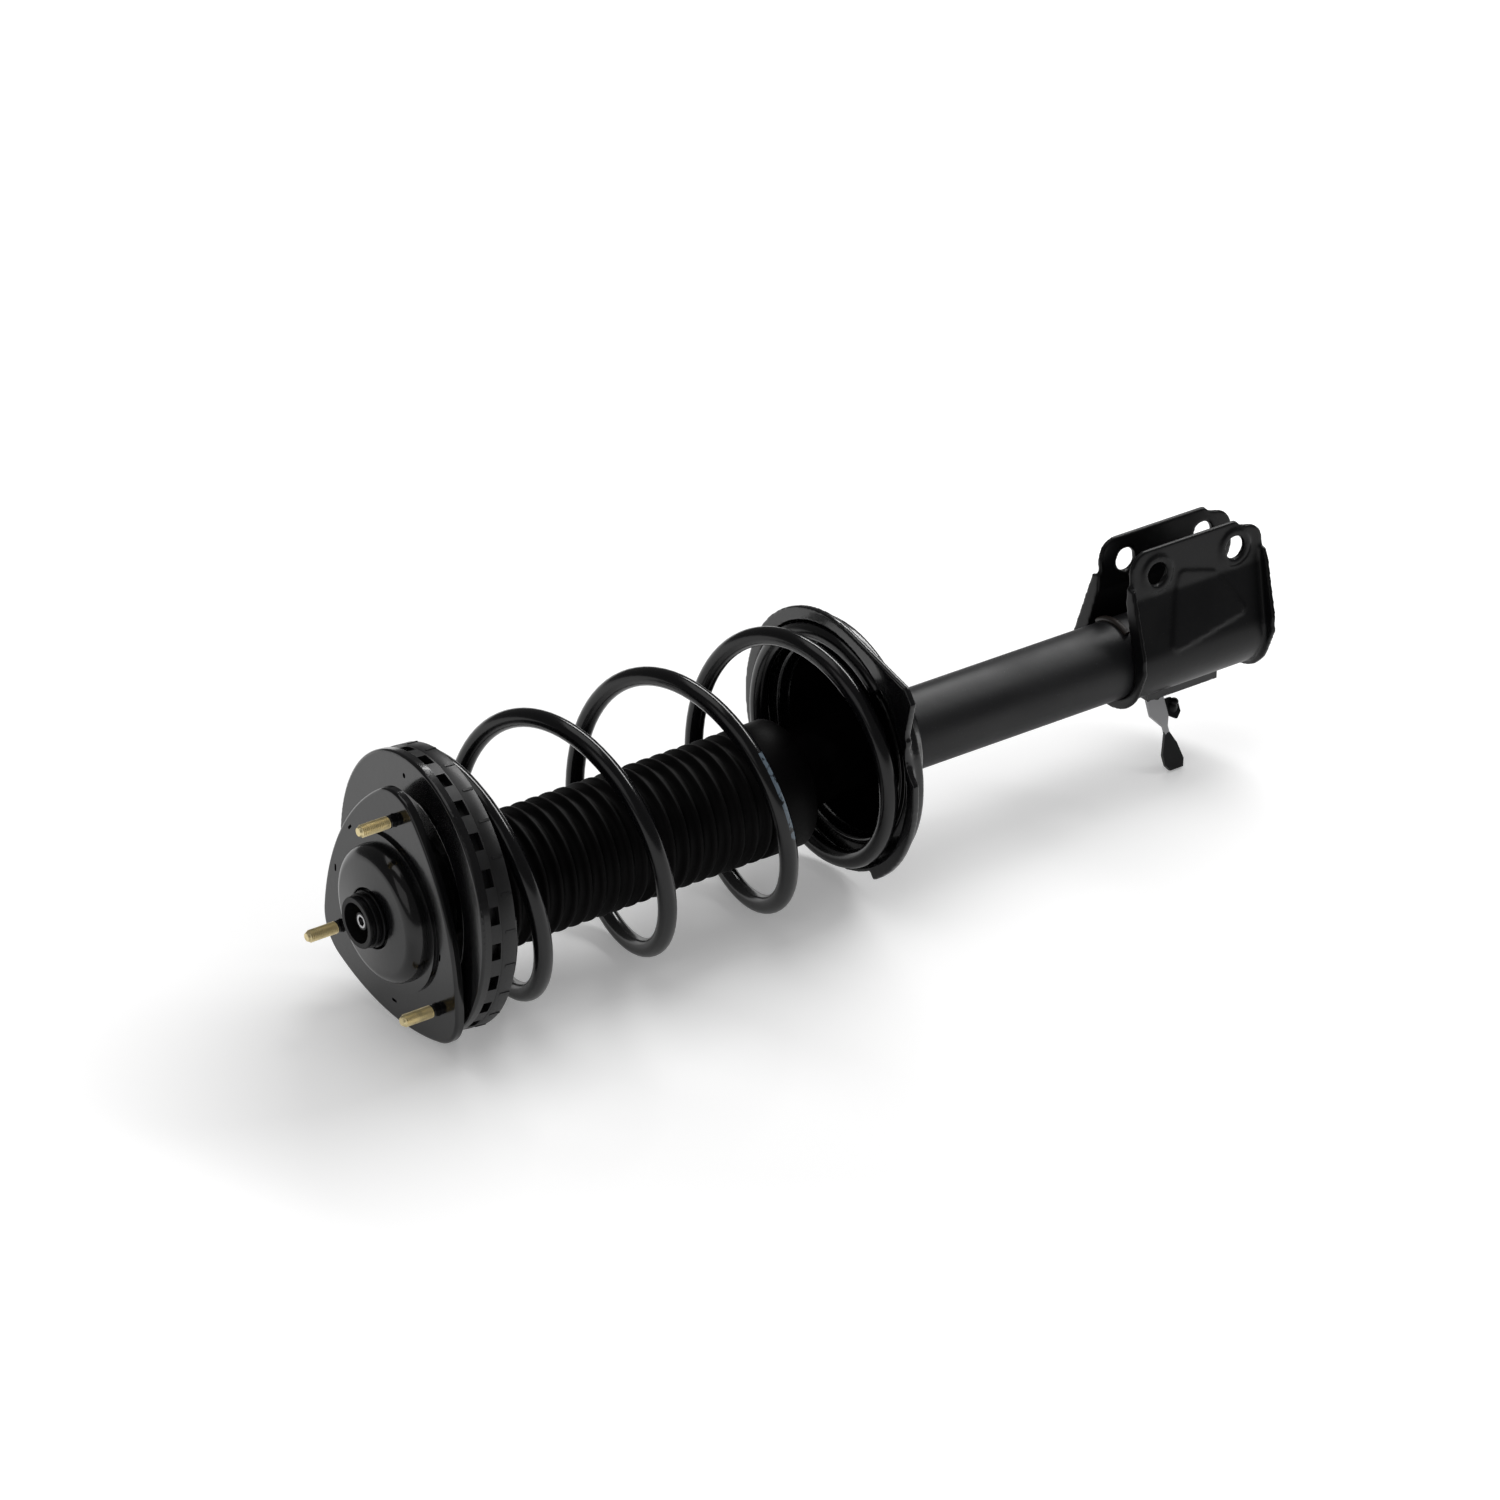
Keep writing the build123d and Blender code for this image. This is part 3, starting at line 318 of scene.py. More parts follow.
# ---- material helpers ----------------------------------------------------------------------------
class Nodes:
    """A short way to lay out a material's nodes."""

    def __init__(self, name):
        self.material = bpy.data.materials.new(name)
        self.material.use_nodes = True
        self.tree = self.material.node_tree
        self.shader = self.tree.nodes["Principled BSDF"]
        self.place = self.add("ShaderNodeTexCoord").outputs["Object"]

    def add(self, kind, **values):
        """A new node, with its settings and the values of its sockets."""
        node = self.tree.nodes.new(kind)
        for key, value in values.items():
            if hasattr(node, key):
                setattr(node, key, value)
            else:
                node.inputs[key.replace("_", " ")].default_value = value
        return node

    def link(self, source, target):
        """Joins two sockets."""
        self.tree.links.new(source, target)

    def noise(self, scale, detail, rough=0.5):
        """Noise that lies still on the piece."""
        node = self.add("ShaderNodeTexNoise", Scale=scale, Detail=detail, Roughness=rough)
        self.link(self.place, node.inputs["Vector"])
        return node.outputs["Fac"]

    def span(self, source, low, high, from_low=0.0, from_high=1.0):
        """A value stretched from one range to another, and kept inside it."""
        node = self.add(
            "ShaderNodeMapRange", From_Min=from_low, From_Max=from_high, To_Min=low, To_Max=high)
        self.link(source, node.inputs["Value"])
        return node.outputs["Result"]

    def split(self):
        """The outputs X, Y and Z of a place on the piece."""
        node = self.add("ShaderNodeSeparateXYZ")
        self.link(self.place, node.inputs["Vector"])
        return node.outputs

    def blend(self, factor, first, second):
        """A colour between two others."""
        node = self.add("ShaderNodeMix", data_type="RGBA")
        self.link(factor, node.inputs["Factor"])
        for value, socket in ((first, node.inputs[6]), (second, node.inputs[7])):
            if hasattr(value, "__len__"):
                socket.default_value = (*value[:3], 1)
            else:
                self.link(value, socket)
        return node.outputs[2]

    def bump(self, *layers):
        """Stacks bumps from (height, strength, distance) and gives the result to the shader."""
        normal = None
        for height, strength, distance in layers:
            node = self.add("ShaderNodeBump", Strength=strength, Distance=distance)
            self.link(height, node.inputs["Height"])
            if normal:
                self.link(normal, node.inputs["Normal"])
            normal = node.outputs["Normal"]
        self.link(normal, self.shader.inputs["Normal"])

    def set(self, **values):
        """Sets the shader's own sockets."""
        for key, value in values.items():
            self.shader.inputs[key.replace("_", " ")].default_value = value


def painted_steel(name, colour, low_gloss, high_gloss, coat=0.0, peel=0.15, ior=1.42):
    """Black paint on steel: faint orange peel, fine dust and patches of wear in the gloss."""
    made = Nodes(name)
    made.set(Metallic=0.0, IOR=ior, Coat_Weight=coat, Coat_Roughness=0.1)
    patches = made.noise(18, 3)
    specks = made.noise(900, 2)
    dust = made.span(specks, 0, 1, 0.68, 0.76)
    pale = [min(1.0, part * 2.5 + 0.012) for part in colour[:3]]
    made.link(made.blend(dust, colour, pale), made.shader.inputs["Base Color"])
    made.link(made.span(patches, low_gloss, high_gloss, 0.35, 0.65), made.shader.inputs["Roughness"])
    made.bump((made.noise(220, 2), peel, 0.0003), (specks, 0.06, 0.0001))
    return made.material


def dull_rubber(name, colour, roughness, gloss=0.22):
    """Moulded rubber with a fine grain and a light bloom."""
    made = Nodes(name)
    made.set(IOR=1.45, Specular_IOR_Level=gloss)
    bloom = made.noise(40, 4, 0.6)
    pale = [min(1.0, part * 1.8 + 0.002) for part in colour[:3]]
    pale_share = made.span(bloom, 0, 1, 0.45, 0.8)
    made.link(made.blend(pale_share, colour, pale), made.shader.inputs["Base Color"])
    made.link(made.span(bloom, roughness - 0.08, roughness + 0.1), made.shader.inputs["Roughness"])
    made.bump((made.noise(1400, 2), 0.25, 0.0001), (made.noise(160, 2), 0.1, 0.0003))
    return made.material


def bare_steel(name, colour, roughness):
    """Turned or plated metal with a fine grain and a little tarnish."""
    made = Nodes(name)
    made.set(Metallic=1.0)
    tarnish = made.noise(120, 3)
    dark = [part * 0.6 for part in colour[:3]]
    dark_share = made.span(tarnish, 0, 1, 0.5, 0.75)
    made.link(made.blend(dark_share, colour, dark), made.shader.inputs["Base Color"])
    made.link(made.span(tarnish, roughness, roughness + 0.15), made.shader.inputs["Roughness"])
    made.bump((made.noise(2500, 1), 0.12, 0.00005))
    return made.material


def within(made, source, band):
    """1 where a value is in a band, and 0 elsewhere. A band is its middle and half its width."""
    near = made.add("ShaderNodeMath", operation="COMPARE")
    made.link(source, near.inputs[0])
    near.inputs[1].default_value, near.inputs[2].default_value = band
    return near.outputs[0]


def product(made, *sources):
    """The product of several values."""
    result = sources[0]
    for source in sources[1:]:
        both = made.add("ShaderNodeMath", operation="MULTIPLY")
        made.link(result, both.inputs[0])
        made.link(source, both.inputs[1])
        result = both.outputs[0]
    return result


def wire_paint(name, colour, mark_colour):
    """The spring's black paint, with a row of blue-grey dabs on the outer edge of one coil."""
    made = Nodes(name)
    made.set(IOR=1.46)
    apart = made.split()
    edge = made.add("ShaderNodeVectorMath", operation="DOT_PRODUCT")
    made.link(made.place, edge.inputs[0])
    edge.inputs[1].default_value = DAB_SLOPE
    dabs = product(
        made, within(made, edge.outputs["Value"], DAB_BAND), within(made, apart["Y"], DAB_Y),
        within(made, apart["Z"], DAB_Z), made.span(made.noise(260, 2), 0, 1, 0.4, 0.5))
    made.link(made.blend(dabs, colour, mark_colour), made.shader.inputs["Base Color"])
    made.link(made.span(made.noise(60, 3), 0.14, 0.22), made.shader.inputs["Roughness"])
    made.bump((made.noise(300, 2), 0.08, 0.0002))
    return made.material


def rod_steel(name, colour):
    """Ground steel, blackened over the threaded end but for a ring round the socket."""
    made = Nodes(name)
    made.set(Metallic=1.0)
    apart = made.split()
    flat = made.add("ShaderNodeCombineXYZ")
    made.link(apart["Y"], flat.inputs["Y"])
    made.link(apart["Z"], flat.inputs["Z"])
    reach = made.add("ShaderNodeVectorMath", operation="LENGTH")
    made.link(flat.outputs[0], reach.inputs[0])
    outer = made.span(reach.outputs["Value"], 0, 1, *ROD_RING)
    black = product(made, outer, within(made, apart["X"], ROD_BLACK_X))
    made.link(made.blend(black, colour, ROD_BLACK), made.shader.inputs["Base Color"])
    made.link(made.span(made.noise(300, 2), 0.2, 0.32), made.shader.inputs["Roughness"])
    made.bump((made.noise(2500, 1), 0.1, 0.00005))
    return made.material


def tab_zinc(name, colour, paint):
    """Painted steel whose tab is bare grey zinc between the strip and the neck."""
    made = Nodes(name)
    made.set(IOR=1.5)
    ragged = made.add("ShaderNodeMath", operation="MULTIPLY_ADD")
    made.link(made.noise(160, 3), ragged.inputs[0])
    ragged.inputs[1].default_value = RAGGED
    made.link(made.split()["Z"], ragged.inputs[2])
    bare = within(made, ragged.outputs[0], BARE_TAB_Z)
    made.link(made.blend(bare, paint, colour), made.shader.inputs["Base Color"])
    made.link(made.span(made.noise(90, 3), 0.3, 0.5), made.shader.inputs["Roughness"])
    made.bump((made.noise(900, 2), 0.15, 0.0001))
    return made.material


def finish(kind):
    """One of the strut's finishes, made the first time that it is asked for."""
    name = f"strut_{kind}"
    if name in bpy.data.materials:
        return bpy.data.materials[name]
    look = bpy.context.scene.strut_finish
    makers = {
        "gloss_black": lambda: painted_steel(name, look.paint, 0.14, 0.25, coat=0.3),
        "satin_black": lambda: painted_steel(name, look.tube_paint, 0.44, 0.54, peel=0.2),
        "bracket_black": lambda: painted_steel(name, look.paint, 0.3, 0.4, ior=1.33),
        "weld_black": lambda: painted_steel(name, look.weld, 0.3, 0.5, peel=0.6),
        "spring_black": lambda: wire_paint(name, look.paint, look.spring_mark),
        "boot_rubber": lambda: dull_rubber(name, look.boot, 0.5, gloss=0.1),
        # painted shade: a dull black without gloss, put on the tube and in the lower seat's dish where shade
        # falls
        "painted_shade_black": lambda: dull_rubber(name, look.boot, 0.5, gloss=0.0),
        "seat_rubber": lambda: dull_rubber(name, look.rubber, 0.4, gloss=0.6),
        "housing_black": lambda: dull_rubber(name, look.rubber, 0.38),
        "yellow_zinc": lambda: bare_steel(name, look.zinc, 0.36),
        "bright_steel": lambda: bare_steel(name, look.steel, 0.22),
        "rod_steel": lambda: rod_steel(name, look.steel),
        "tab_zinc": lambda: tab_zinc(name, look.tab, look.tube_paint),
        "grey_steel": lambda: bare_steel(name, look.tab, 0.4),
        "buffer_foam": lambda: dull_rubber(name, look.foam, 0.8),
    }
    return makers[kind]()


# ---- settings ------------------------------------------------------------------------------------
def length(name, description, default):
    """A length that a user can change."""
    return bpy.props.FloatProperty(
        name=name, description=description, default=default, unit="LENGTH", subtype="DISTANCE", precision=5)


def number(name, description, default, **more):
    """A plain number that a user can change."""
    return bpy.props.FloatProperty(name=name, description=description, default=default, **more)


def colour(name, description, default):
    """A colour that a user can change."""
    return bpy.props.FloatVectorProperty(
        name=name, description=description, default=default, size=3, min=0, max=1, subtype="COLOR")


class StrutFinish(bpy.types.PropertyGroup):
    """Colours of the strut's finishes."""

    paint: colour(
        "Gloss paint", "Paint of the mount, the seats, the spring and the bracket", (0.0025, 0.0025, 0.003))
    tube_paint: colour("Tube paint", "Paint of the damper tube", (0.006, 0.006, 0.007))
    weld: colour("Weld", "Beads of weld under the paint", (0.014, 0.010, 0.008))
    rubber: colour("Rubber", "Rubber of the spring's pad and the mount", (0.004, 0.004, 0.0045))
    # boot is also the colour of the painted shade on the tube and in the lower seat's dish
    boot: colour("Boot", "Rubber of the dust boot", (0.0012, 0.001, 0.0011))
    zinc: colour("Yellow zinc", "Plating of the studs", (0.86, 0.73, 0.42))
    steel: colour("Steel", "Bare steel of the rod's end and the bearing", (0.55, 0.55, 0.56))
    tab: colour("Grey zinc", "Plating of the hose tab", (0.42, 0.42, 0.43))
    foam: colour("Foam", "Foam of the bump stop", (0.55, 0.48, 0.3))
    spring_mark: colour("Spring mark", "Dabs of paint on the spring", (0.1, 0.13, 0.16))


class StrutSpring(bpy.types.PropertyGroup):
    """Sizes of the spring."""

    wire: length("Wire radius", "Half the thickness of the wire", 0.0059)
    coil: length("Coil radius", "From the spring's axis to the middle of the wire", 0.0791)
    pitch: length("Pitch", "How far one free turn climbs", 0.0896)
    start: number("Upper end", "Turn where the upper end is cut", -1.78)
    end: number("Lower end", "Turn where the lower end is cut", 3.11)
    ramp: number("Ramp", "Turns in which a closed end opens", 0.45)
    crossing: length("Crossing", "Where the free coil passes the top at turn 0", 0.1214)
    axis: length("Axis", "Height of the spring's axis over the rod's", 0.008)
    low_coil: length("Lower coil radius", "Radius that the lower end draws in to", 0.0725)
    low_pitch: length("Lower pitch", "Pitch that the lower end closes to", 0.0126)
    low_axis: length("Lower axis", "Height of the lower end's axis over the rod's", 0.010)


class StrutBoot(bpy.types.PropertyGroup):
    """Sizes of the dust boot."""

    folds: bpy.props.IntProperty(name="Folds", description="How many folds the boot has", default=22, min=2)
    depth: length("Fold depth", "From a fold's top to its root", 0.0042)
    wall: length("Wall", "Thickness of the boot's wall", 0.0016)
    collar: length("Collar", "Length of the plain collar at the lower end", 0.031)


class StrutCup(bpy.types.PropertyGroup):
    """Sizes of the pressed cup over the bearing."""

    radius: length("Radius", "Outside of the cup's wall", 0.0435)
    opening: length("Opening", "Radius of the hole for the neck", 0.019)
    wall: length("Wall", "Thickness of the sheet", 0.0025)
    crown: length("Crown", "How far the face stands out at the opening", 0.0026)
    shoulder: length("Shoulder", "Rounding between the face and the wall", 0.008)


class StrutPad(bpy.types.PropertyGroup):
    """Sizes of the rubber pad's lip round the closed end of the spring."""

    base: length("Base", "Thickness of the pad under the spring with the seat's sheet", 0.0153)
    lip: length("Lip", "How far the lip reaches over the spring", 0.0075)
    inside: length("Inside", "Inner radius of the lip", 0.0855)
    outside: length("Outside", "Outer radius of the lip", 0.0872)
    marks: bpy.props.IntProperty(name="Marks", description="Mould marks round the lip", default=24, min=3)


class StrutThread(bpy.types.PropertyGroup):
    """Sizes of the studs' thread."""

    pitch: length("Pitch", "How far one turn of the thread climbs", 0.00125)
    depth: length("Depth", "Height of the thread", 0.00062)
    plain: length("Plain part", "Length of stud without thread by the plate", 0.002)
    tip: length("Tip", "Length of the tapered tip", 0.0016)
    head: length("Head", "Radius of the pressed-in head", 0.0065)


class StrutStage(bpy.types.PropertyGroup):
    """Camera, lamps and floor."""

    eye: bpy.props.FloatVectorProperty(
        name="Eye", description="Where the camera stands", default=(-1.9740, -3.1289, 2.1517),
        subtype="TRANSLATION")
    azimuth: number("Azimuth", "Turn of the view about Z", math.radians(-35.56), subtype="ANGLE")
    elevation: number("Elevation", "How far the view looks down", math.radians(28.94), subtype="ANGLE")
    lens: number("Lens", "Focal length in millimetres", 172.7)
    fill: number("Fill", "Even light from the room round the strut", 0.36)
    sky: number("Sky", "Brightness of the room that gloss mirrors", 0.12)
    key: number("Key lamp", "Power of the long lamp over the lower end", 66)
    left: number("Left lamp", "Power of the wide lamp in front of the mount", 4)
    top: number("Top lamp", "Power of the wide lamp above", 10)
    near_lift: number("Near lift", "What the camera sees added to the floor beside the strut", 0.22)
    far_lift: number("Far lift", "What the camera sees added to the floor far from the strut", 0.8)
    shine: number("Shine", "What gloss mirrors added to the floor", 0.1)
    floor: colour("Floor", "Colour of the floor", (0.9, 0.9, 0.9))
    floor_size: length("Floor size", "Half the width of the floor", 6.0)


# ---- spring --------------------------------------------------------------------------------------
def share_of(turn, start, ramp):
    """How far a closed end has opened at a turn, from 0 to 1."""
    return min(max((turn - start) / ramp, 0.0), 1.0)


def eased(share):
    """Starts and stops an even growth gently."""
    return share * share * (3 - 2 * share)


def climbed(turn, start, ramp):
    """Turns' worth of climb of a coil that opens evenly from start."""
    share = share_of(turn, start, ramp)
    return share * share * ramp / 2 + max(turn - start - ramp, 0.0)


def lean_of_upper_seat():
    """The placement that leans the spring's closed upper end with its seat."""
    centre = Matrix.Translation((SEAT_FACE_X, 0, bpy.context.scene.strut_spring.axis))
    turn_z = Matrix.Rotation(SEAT_LEAN_Z, 4, "Z")
    turn_y = Matrix.Rotation(SEAT_LEAN_Y, 4, "Y")
    return centre @ turn_z @ turn_y @ centre.inverted()


class STRUT_OT_spring(bpy.types.Operator):
    """Winds the coil spring, with closed ends and a leaning upper end"""

    bl_idname = "strut.spring"
    bl_label = "Spring"

    def execute(self, context):
        size = context.scene.strut_spring
        lower = back_of("coil_spring") - size.wire
        upper = SEAT_FACE_X + context.scene.strut_pad.base + PAD_GAP + size.wire
        opens = (upper - size.crossing) / size.pitch - size.ramp / 2
        lost = size.pitch - size.low_pitch
        closes = size.end - (size.crossing + size.pitch * size.end - lower) / lost - size.ramp / 2

        def place(turn):
            return (upper + size.pitch * climbed(turn, opens, size.ramp)
                    - lost * climbed(turn, closes, size.ramp))

        steps = round((size.end - size.start) * WIRE_STEPS)
        bm = bmesh.new()
        bmesh.ops.create_circle(bm, segments=WIRE_SIDES, radius=size.wire)
        bmesh.ops.rotate(bm, verts=bm.verts, matrix=Matrix.Rotation(math.radians(90), 3, "X"))
        bmesh.ops.translate(bm, verts=bm.verts, vec=(place(size.start), 0, size.axis + size.coil))
        bmesh.ops.rotate(
            bm, verts=bm.verts, cent=(0, 0, size.axis),
            matrix=Matrix.Rotation(math.tau * size.start, 3, "X"))
        rings = [(list(bm.verts), size.start)]
        loop = list(bm.edges)
        step = (size.end - size.start) / steps
        for index in range(steps):
            turn = size.start + step * index
            rise = place(turn + step) - place(turn)
            made = bmesh.ops.spin(
                bm, geom=loop, cent=(0, 0, size.axis), axis=(1, 0, 0), dvec=(rise, 0, 0),
                angle=math.tau * step, steps=1)["geom_last"]
            loop = [part for part in made if isinstance(part, bmesh.types.BMEdge)]
            rings.append(([part for part in made if isinstance(part, bmesh.types.BMVert)], turn + step))
        lean = lean_of_upper_seat()
        for verts, turn in rings:
            upright = eased(share_of(turn, opens, size.ramp))
            closed = eased(share_of(turn, closes, size.ramp))
            outward = Vector((0, -math.sin(math.tau * turn), math.cos(math.tau * turn)))
            drawn = outward * (size.low_coil - size.coil) * closed
            drawn.z += (size.low_axis - size.axis) * closed
            for vert in verts:
                vert.co = vert.co.lerp(lean @ vert.co, 1 - upright) + drawn
        ends = bmesh.ops.holes_fill(bm, edges=[edge for edge in bm.edges if edge.is_boundary])["faces"]
        bmesh.ops.recalc_face_normals(bm, faces=bm.faces)
        rims = {edge for face in ends for edge in face.edges}
        bmesh.ops.bevel(
            bm, geom=list(rims), offset=WIRE_RIM, segments=2, profile=0.5, affect="EDGES", material=-1)
        wire = to_piece("coil_spring_wire", bm, finish("spring_black"), "strut", ["coil_spring"], 40)
        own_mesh(wire)
        return {"FINISHED"}


# ---- boot ----------------------------------------------------------------------------------------
class STRUT_OT_boot(bpy.types.Operator):
    """Moulds the dust boot with its folds and its plain lower collar"""

    bl_idname = "strut.boot"
    bl_label = "Dust boot"

    def execute(self, context):
        size = context.scene.strut_boot
        front, back = front_of("dust_boot"), back_of("dust_boot")
        outer = radius_of("dust_boot")
        pitch = (back - front - size.collar) / size.folds
        outline = []
        for index in range(size.folds):
            outline += [
                (front + pitch * (index + along), outer - size.depth * deep) for along, deep in BOOT_FOLD]
        collar = front + pitch * size.folds
        cut, end = COLLAR_LENGTHS
        outline += [(collar, outer - size.depth), (collar + cut, outer - COLLAR_CUT), (collar + end, outer)]
        outline += [(back - cut, outer), (back, outer - COLLAR_CUT)]
        inside = [(x, radius - size.wall) for x, radius in reversed(outline)]
        bm = bmesh.new()
        ring_from(bm, outline + inside, height_of("dust_boot"), BOOT_STEPS)
        boot = to_piece("dust_boot_bellows", bm, finish("boot_rubber"), "strut", ["dust_boot"], 60)
        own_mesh(boot)
        return {"FINISHED"}


# ---- studs ---------------------------------------------------------------------------------------
def round_bar(bm, front, back, front_radius, back_radius, centre):
    """A capped bar or taper along X."""
    made = bmesh.ops.create_cone(
        bm, cap_ends=True, segments=BAR_SIDES, radius1=front_radius, radius2=back_radius,
        depth=back - front)["verts"]
    bmesh.ops.rotate(bm, verts=made, matrix=Matrix.Rotation(math.radians(90), 3, "Y"))
    bmesh.ops.translate(bm, verts=made, vec=((front + back) / 2 + centre[0], centre[1], centre[2]))


def screw_thread(bm, front, back, radius, size, centre):
    """A helical ridge along X, sunk into the core that it stands on."""
    core = radius - size.depth
    foot = core - THREAD_FOOT
    half = size.pitch * THREAD_HALF
    turns = (back - front - 2 * half) / size.pitch
    steps = round(turns * THREAD_STEPS)
    points = [(front, foot), (front + half, radius), (front + 2 * half, foot)]
    verts = [bm.verts.new((x, 0, z)) for x, z in points]
    edges = [bm.edges.new(pair) for pair in zip(verts, verts[1:] + verts[:1])]
    swept = bmesh.ops.spin(
        bm, geom=verts + edges, cent=(0, 0, 0), axis=(1, 0, 0), dvec=(turns * size.pitch / steps, 0, 0),
        angle=math.tau * turns, steps=steps)["geom_last"]
    thread = set(verts)
    grown = list(verts)
    while grown:
        grown = [edge.other_vert(vert) for vert in grown for edge in vert.link_edges]
        grown = [vert for vert in dict.fromkeys(grown) if vert not in thread]
        thread.update(grown)
    last = [part for part in swept if isinstance(part, bmesh.types.BMEdge)]
    bmesh.ops.holes_fill(bm, edges=edges + last)
    bmesh.ops.translate(bm, verts=list(thread), vec=centre)


class STRUT_OT_studs(bpy.types.Operator):
    """Cuts the three studs that bolt the mount to the car's body"""

    bl_idname = "strut.studs"
    bl_label = "Studs"

    def execute(self, context):
        size = context.scene.strut_thread
        front, back = front_of("tower_studs"), back_of("tower_studs")
        plate = front_of("mount_plate")
        head = plate + (back - plate) * STUD_HEAD_AT
        bm = bmesh.new()
        for mount in frame["record"]["mounts"]:
            if not mount["name"].startswith("tower_stud"):
                continue
            radius = mount["dims"]["r_mm"] / 1000
            centre = (0, mount["pos_m"][1], mount["pos_m"][2])
            core = radius - size.depth
            round_bar(bm, front, front + size.tip, core - size.tip / 2, core, centre)
            round_bar(bm, front + size.tip, -size.plain, core, core, centre)
            round_bar(bm, -size.plain, back, radius, radius, centre)
            round_bar(bm, head, back, size.head, size.head, centre)
            screw_thread(
                bm, front + size.tip * THREAD_START, -size.plain + size.pitch * THREAD_RUN_OUT, radius, size,
                centre)
        bmesh.ops.recalc_face_normals(bm, faces=bm.faces)
        studs = to_piece("tower_stud_threads", bm, finish("yellow_zinc"), "mount", ["tower_studs"], 30)
        # Painted shade: the studs' roots next to the plate are painted black.
        root = plate - STUD_SHADED_ROOT
        cut_across(studs, root)
        shade_faces(studs, "gloss_black", lambda centre, normal: centre.x > root)
        return {"FINISHED"}


# ---- pieces that keep their packed form ----------------------------------------------------------
def dress_all(nodes, look, edge=EDGE):
    """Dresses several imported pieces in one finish."""
    for node in nodes:
        dress(node, f"{node}_dressed", finish(look), edge)


class STRUT_OT_mount(bpy.types.Operator):
    """Dresses the top mount: plate, cup, rubber and bearing housing"""

    bl_idname = "strut.mount"
    bl_label = "Top mount"

    def execute(self, context):
        dress_all(["mount_plate"], "gloss_black")
        dress_all(["mount_rubber"], "seat_rubber")
        dress_all(["bearing_housing"], "housing_black", FINE_EDGE)
        size = context.scene.strut_cup
        front, back, flange = front_of("mount_cup"), back_of("mount_cup"), radius_of("mount_cup")
        shoulder = front + size.crown
        inside = size.radius - size.wall
        foot = back - size.wall
        bm = bmesh.new()
        ring_from(bm, [
            (front, size.opening), (shoulder, size.radius), (foot, size.radius), (foot, flange),
            (back, flange), (back, inside), (shoulder + size.wall, inside),
            (front + size.wall, size.opening)], 0, CUP_STEPS)
        round_ring(bm, shoulder, size.radius, size.shoulder, 8)
        round_ring(bm, shoulder + size.wall, inside, size.shoulder - size.wall, 3)
        round_ring(bm, front, size.opening, CUP_EDGE, 3)
        round_ring(bm, foot, size.radius, CUP_CORNER, 3)
        round_ring(bm, foot, flange, CUP_EDGE, 3)
        cup = to_piece("mount_cup_pressed", bm, finish("gloss_black"), "mount", ["mount_cup"], 40, even=True)
        return {"FINISHED"}


class STRUT_OT_bearing(bpy.types.Operator):
    """Dresses the bearing and what the rod's nut clamps"""

    bl_idname = "strut.bearing"
    bl_label = "Bearing"

    def execute(self, context):
        steel = ["bearing_outer_race", "bearing_inner_race", "bearing_balls", "bearing_retainer"]
        steel += ["seat_spacer", "rod_washer"]
        dress_all(steel, "bright_steel", 0)
        dress_all(["rod_nut"], "yellow_zinc")
        return {"FINISHED"}


class STRUT_OT_upper_seat(bpy.types.Operator):
    """Dresses the upper spring seat and its rubber pad"""

    bl_idname = "strut.upper_seat"
    bl_label = "Upper seat"

    def execute(self, context):
        dress_all(["upper_spring_seat"], "gloss_black")
        dress_all(["upper_insulator"], "seat_rubber", PAD_EDGE)
        size = context.scene.strut_pad
        axis = context.scene.strut_spring.axis
        start = SEAT_FACE_X + size.base
        root, top = start - LIP_ROOT, start + size.lip
        bm = bmesh.new()
        ring_from(bm, [
            (root, size.inside), (top, size.inside), (top, size.outside), (root, size.outside)], axis,
            LIP_STEPS)
        soften(bm, LIP_EDGE, 40)
        for index in range(size.marks):
            around = Matrix.Rotation(math.tau * (index + 0.5) / size.marks, 4, "X")
            centre = Matrix.Translation((0, 0, axis))
            place = centre @ around @ Matrix.Translation((start + size.lip / 2, 0, size.outside))
            shape = Matrix.Diagonal((size.lip * MARK_SHARE, *MARK_SIZE, 1))
            bmesh.ops.create_cube(bm, size=1, matrix=place @ shape)
        bmesh.ops.transform(bm, matrix=lean_of_upper_seat(), verts=bm.verts)
        bmesh.ops.recalc_face_normals(bm, faces=bm.faces)
        lip = to_piece("spring_pad_lip", bm, finish("seat_rubber"), body_of("upper_insulator"), [], 40)
        return {"FINISHED"}


class STRUT_OT_rod(bpy.types.Operator):
    """Dresses the rod and what it carries inside the tube"""

    bl_idname = "strut.rod"
    bl_label = "Rod and piston"

    def execute(self, context):
        dress_all(["piston_rod", "piston_nut"], "rod_steel")
        dress_all(["piston"], "grey_steel")
        dress_all(["piston_band", "rebound_stop"], "seat_rubber")
        dress_all(["bump_stop"], "buffer_foam", 0)
        return {"FINISHED"}


class STRUT_OT_damper(bpy.types.Operator):
    """Dresses the damper tube and what it holds"""

    bl_idname = "strut.damper"
    bl_label = "Damper"

    def execute(self, context):
        dress_all(["tube_end_cap", "gland_nut"], "satin_black")
        tube = dress("strut_tube", "strut_tube_dressed", finish("satin_black"))
        # Painted shade: the tube inside the spring, up to inside the lower seat where the seat keeps the
        # light off, is a dull black without gloss.
        shade_end = back_of("lower_spring_seat") - SHADED_TUBE_LENGTH
        cut_across(tube, shade_end)
        shade_faces(tube, "painted_shade_black", lambda centre, normal: centre.x < shade_end)
        dress_all(["rod_seal"], "seat_rubber")
        dress_all(["rod_guide", "base_valve"], "grey_steel")
        dress_all(["guide_bush", "pressure_tube"], "bright_steel", 0)
        return {"FINISHED"}


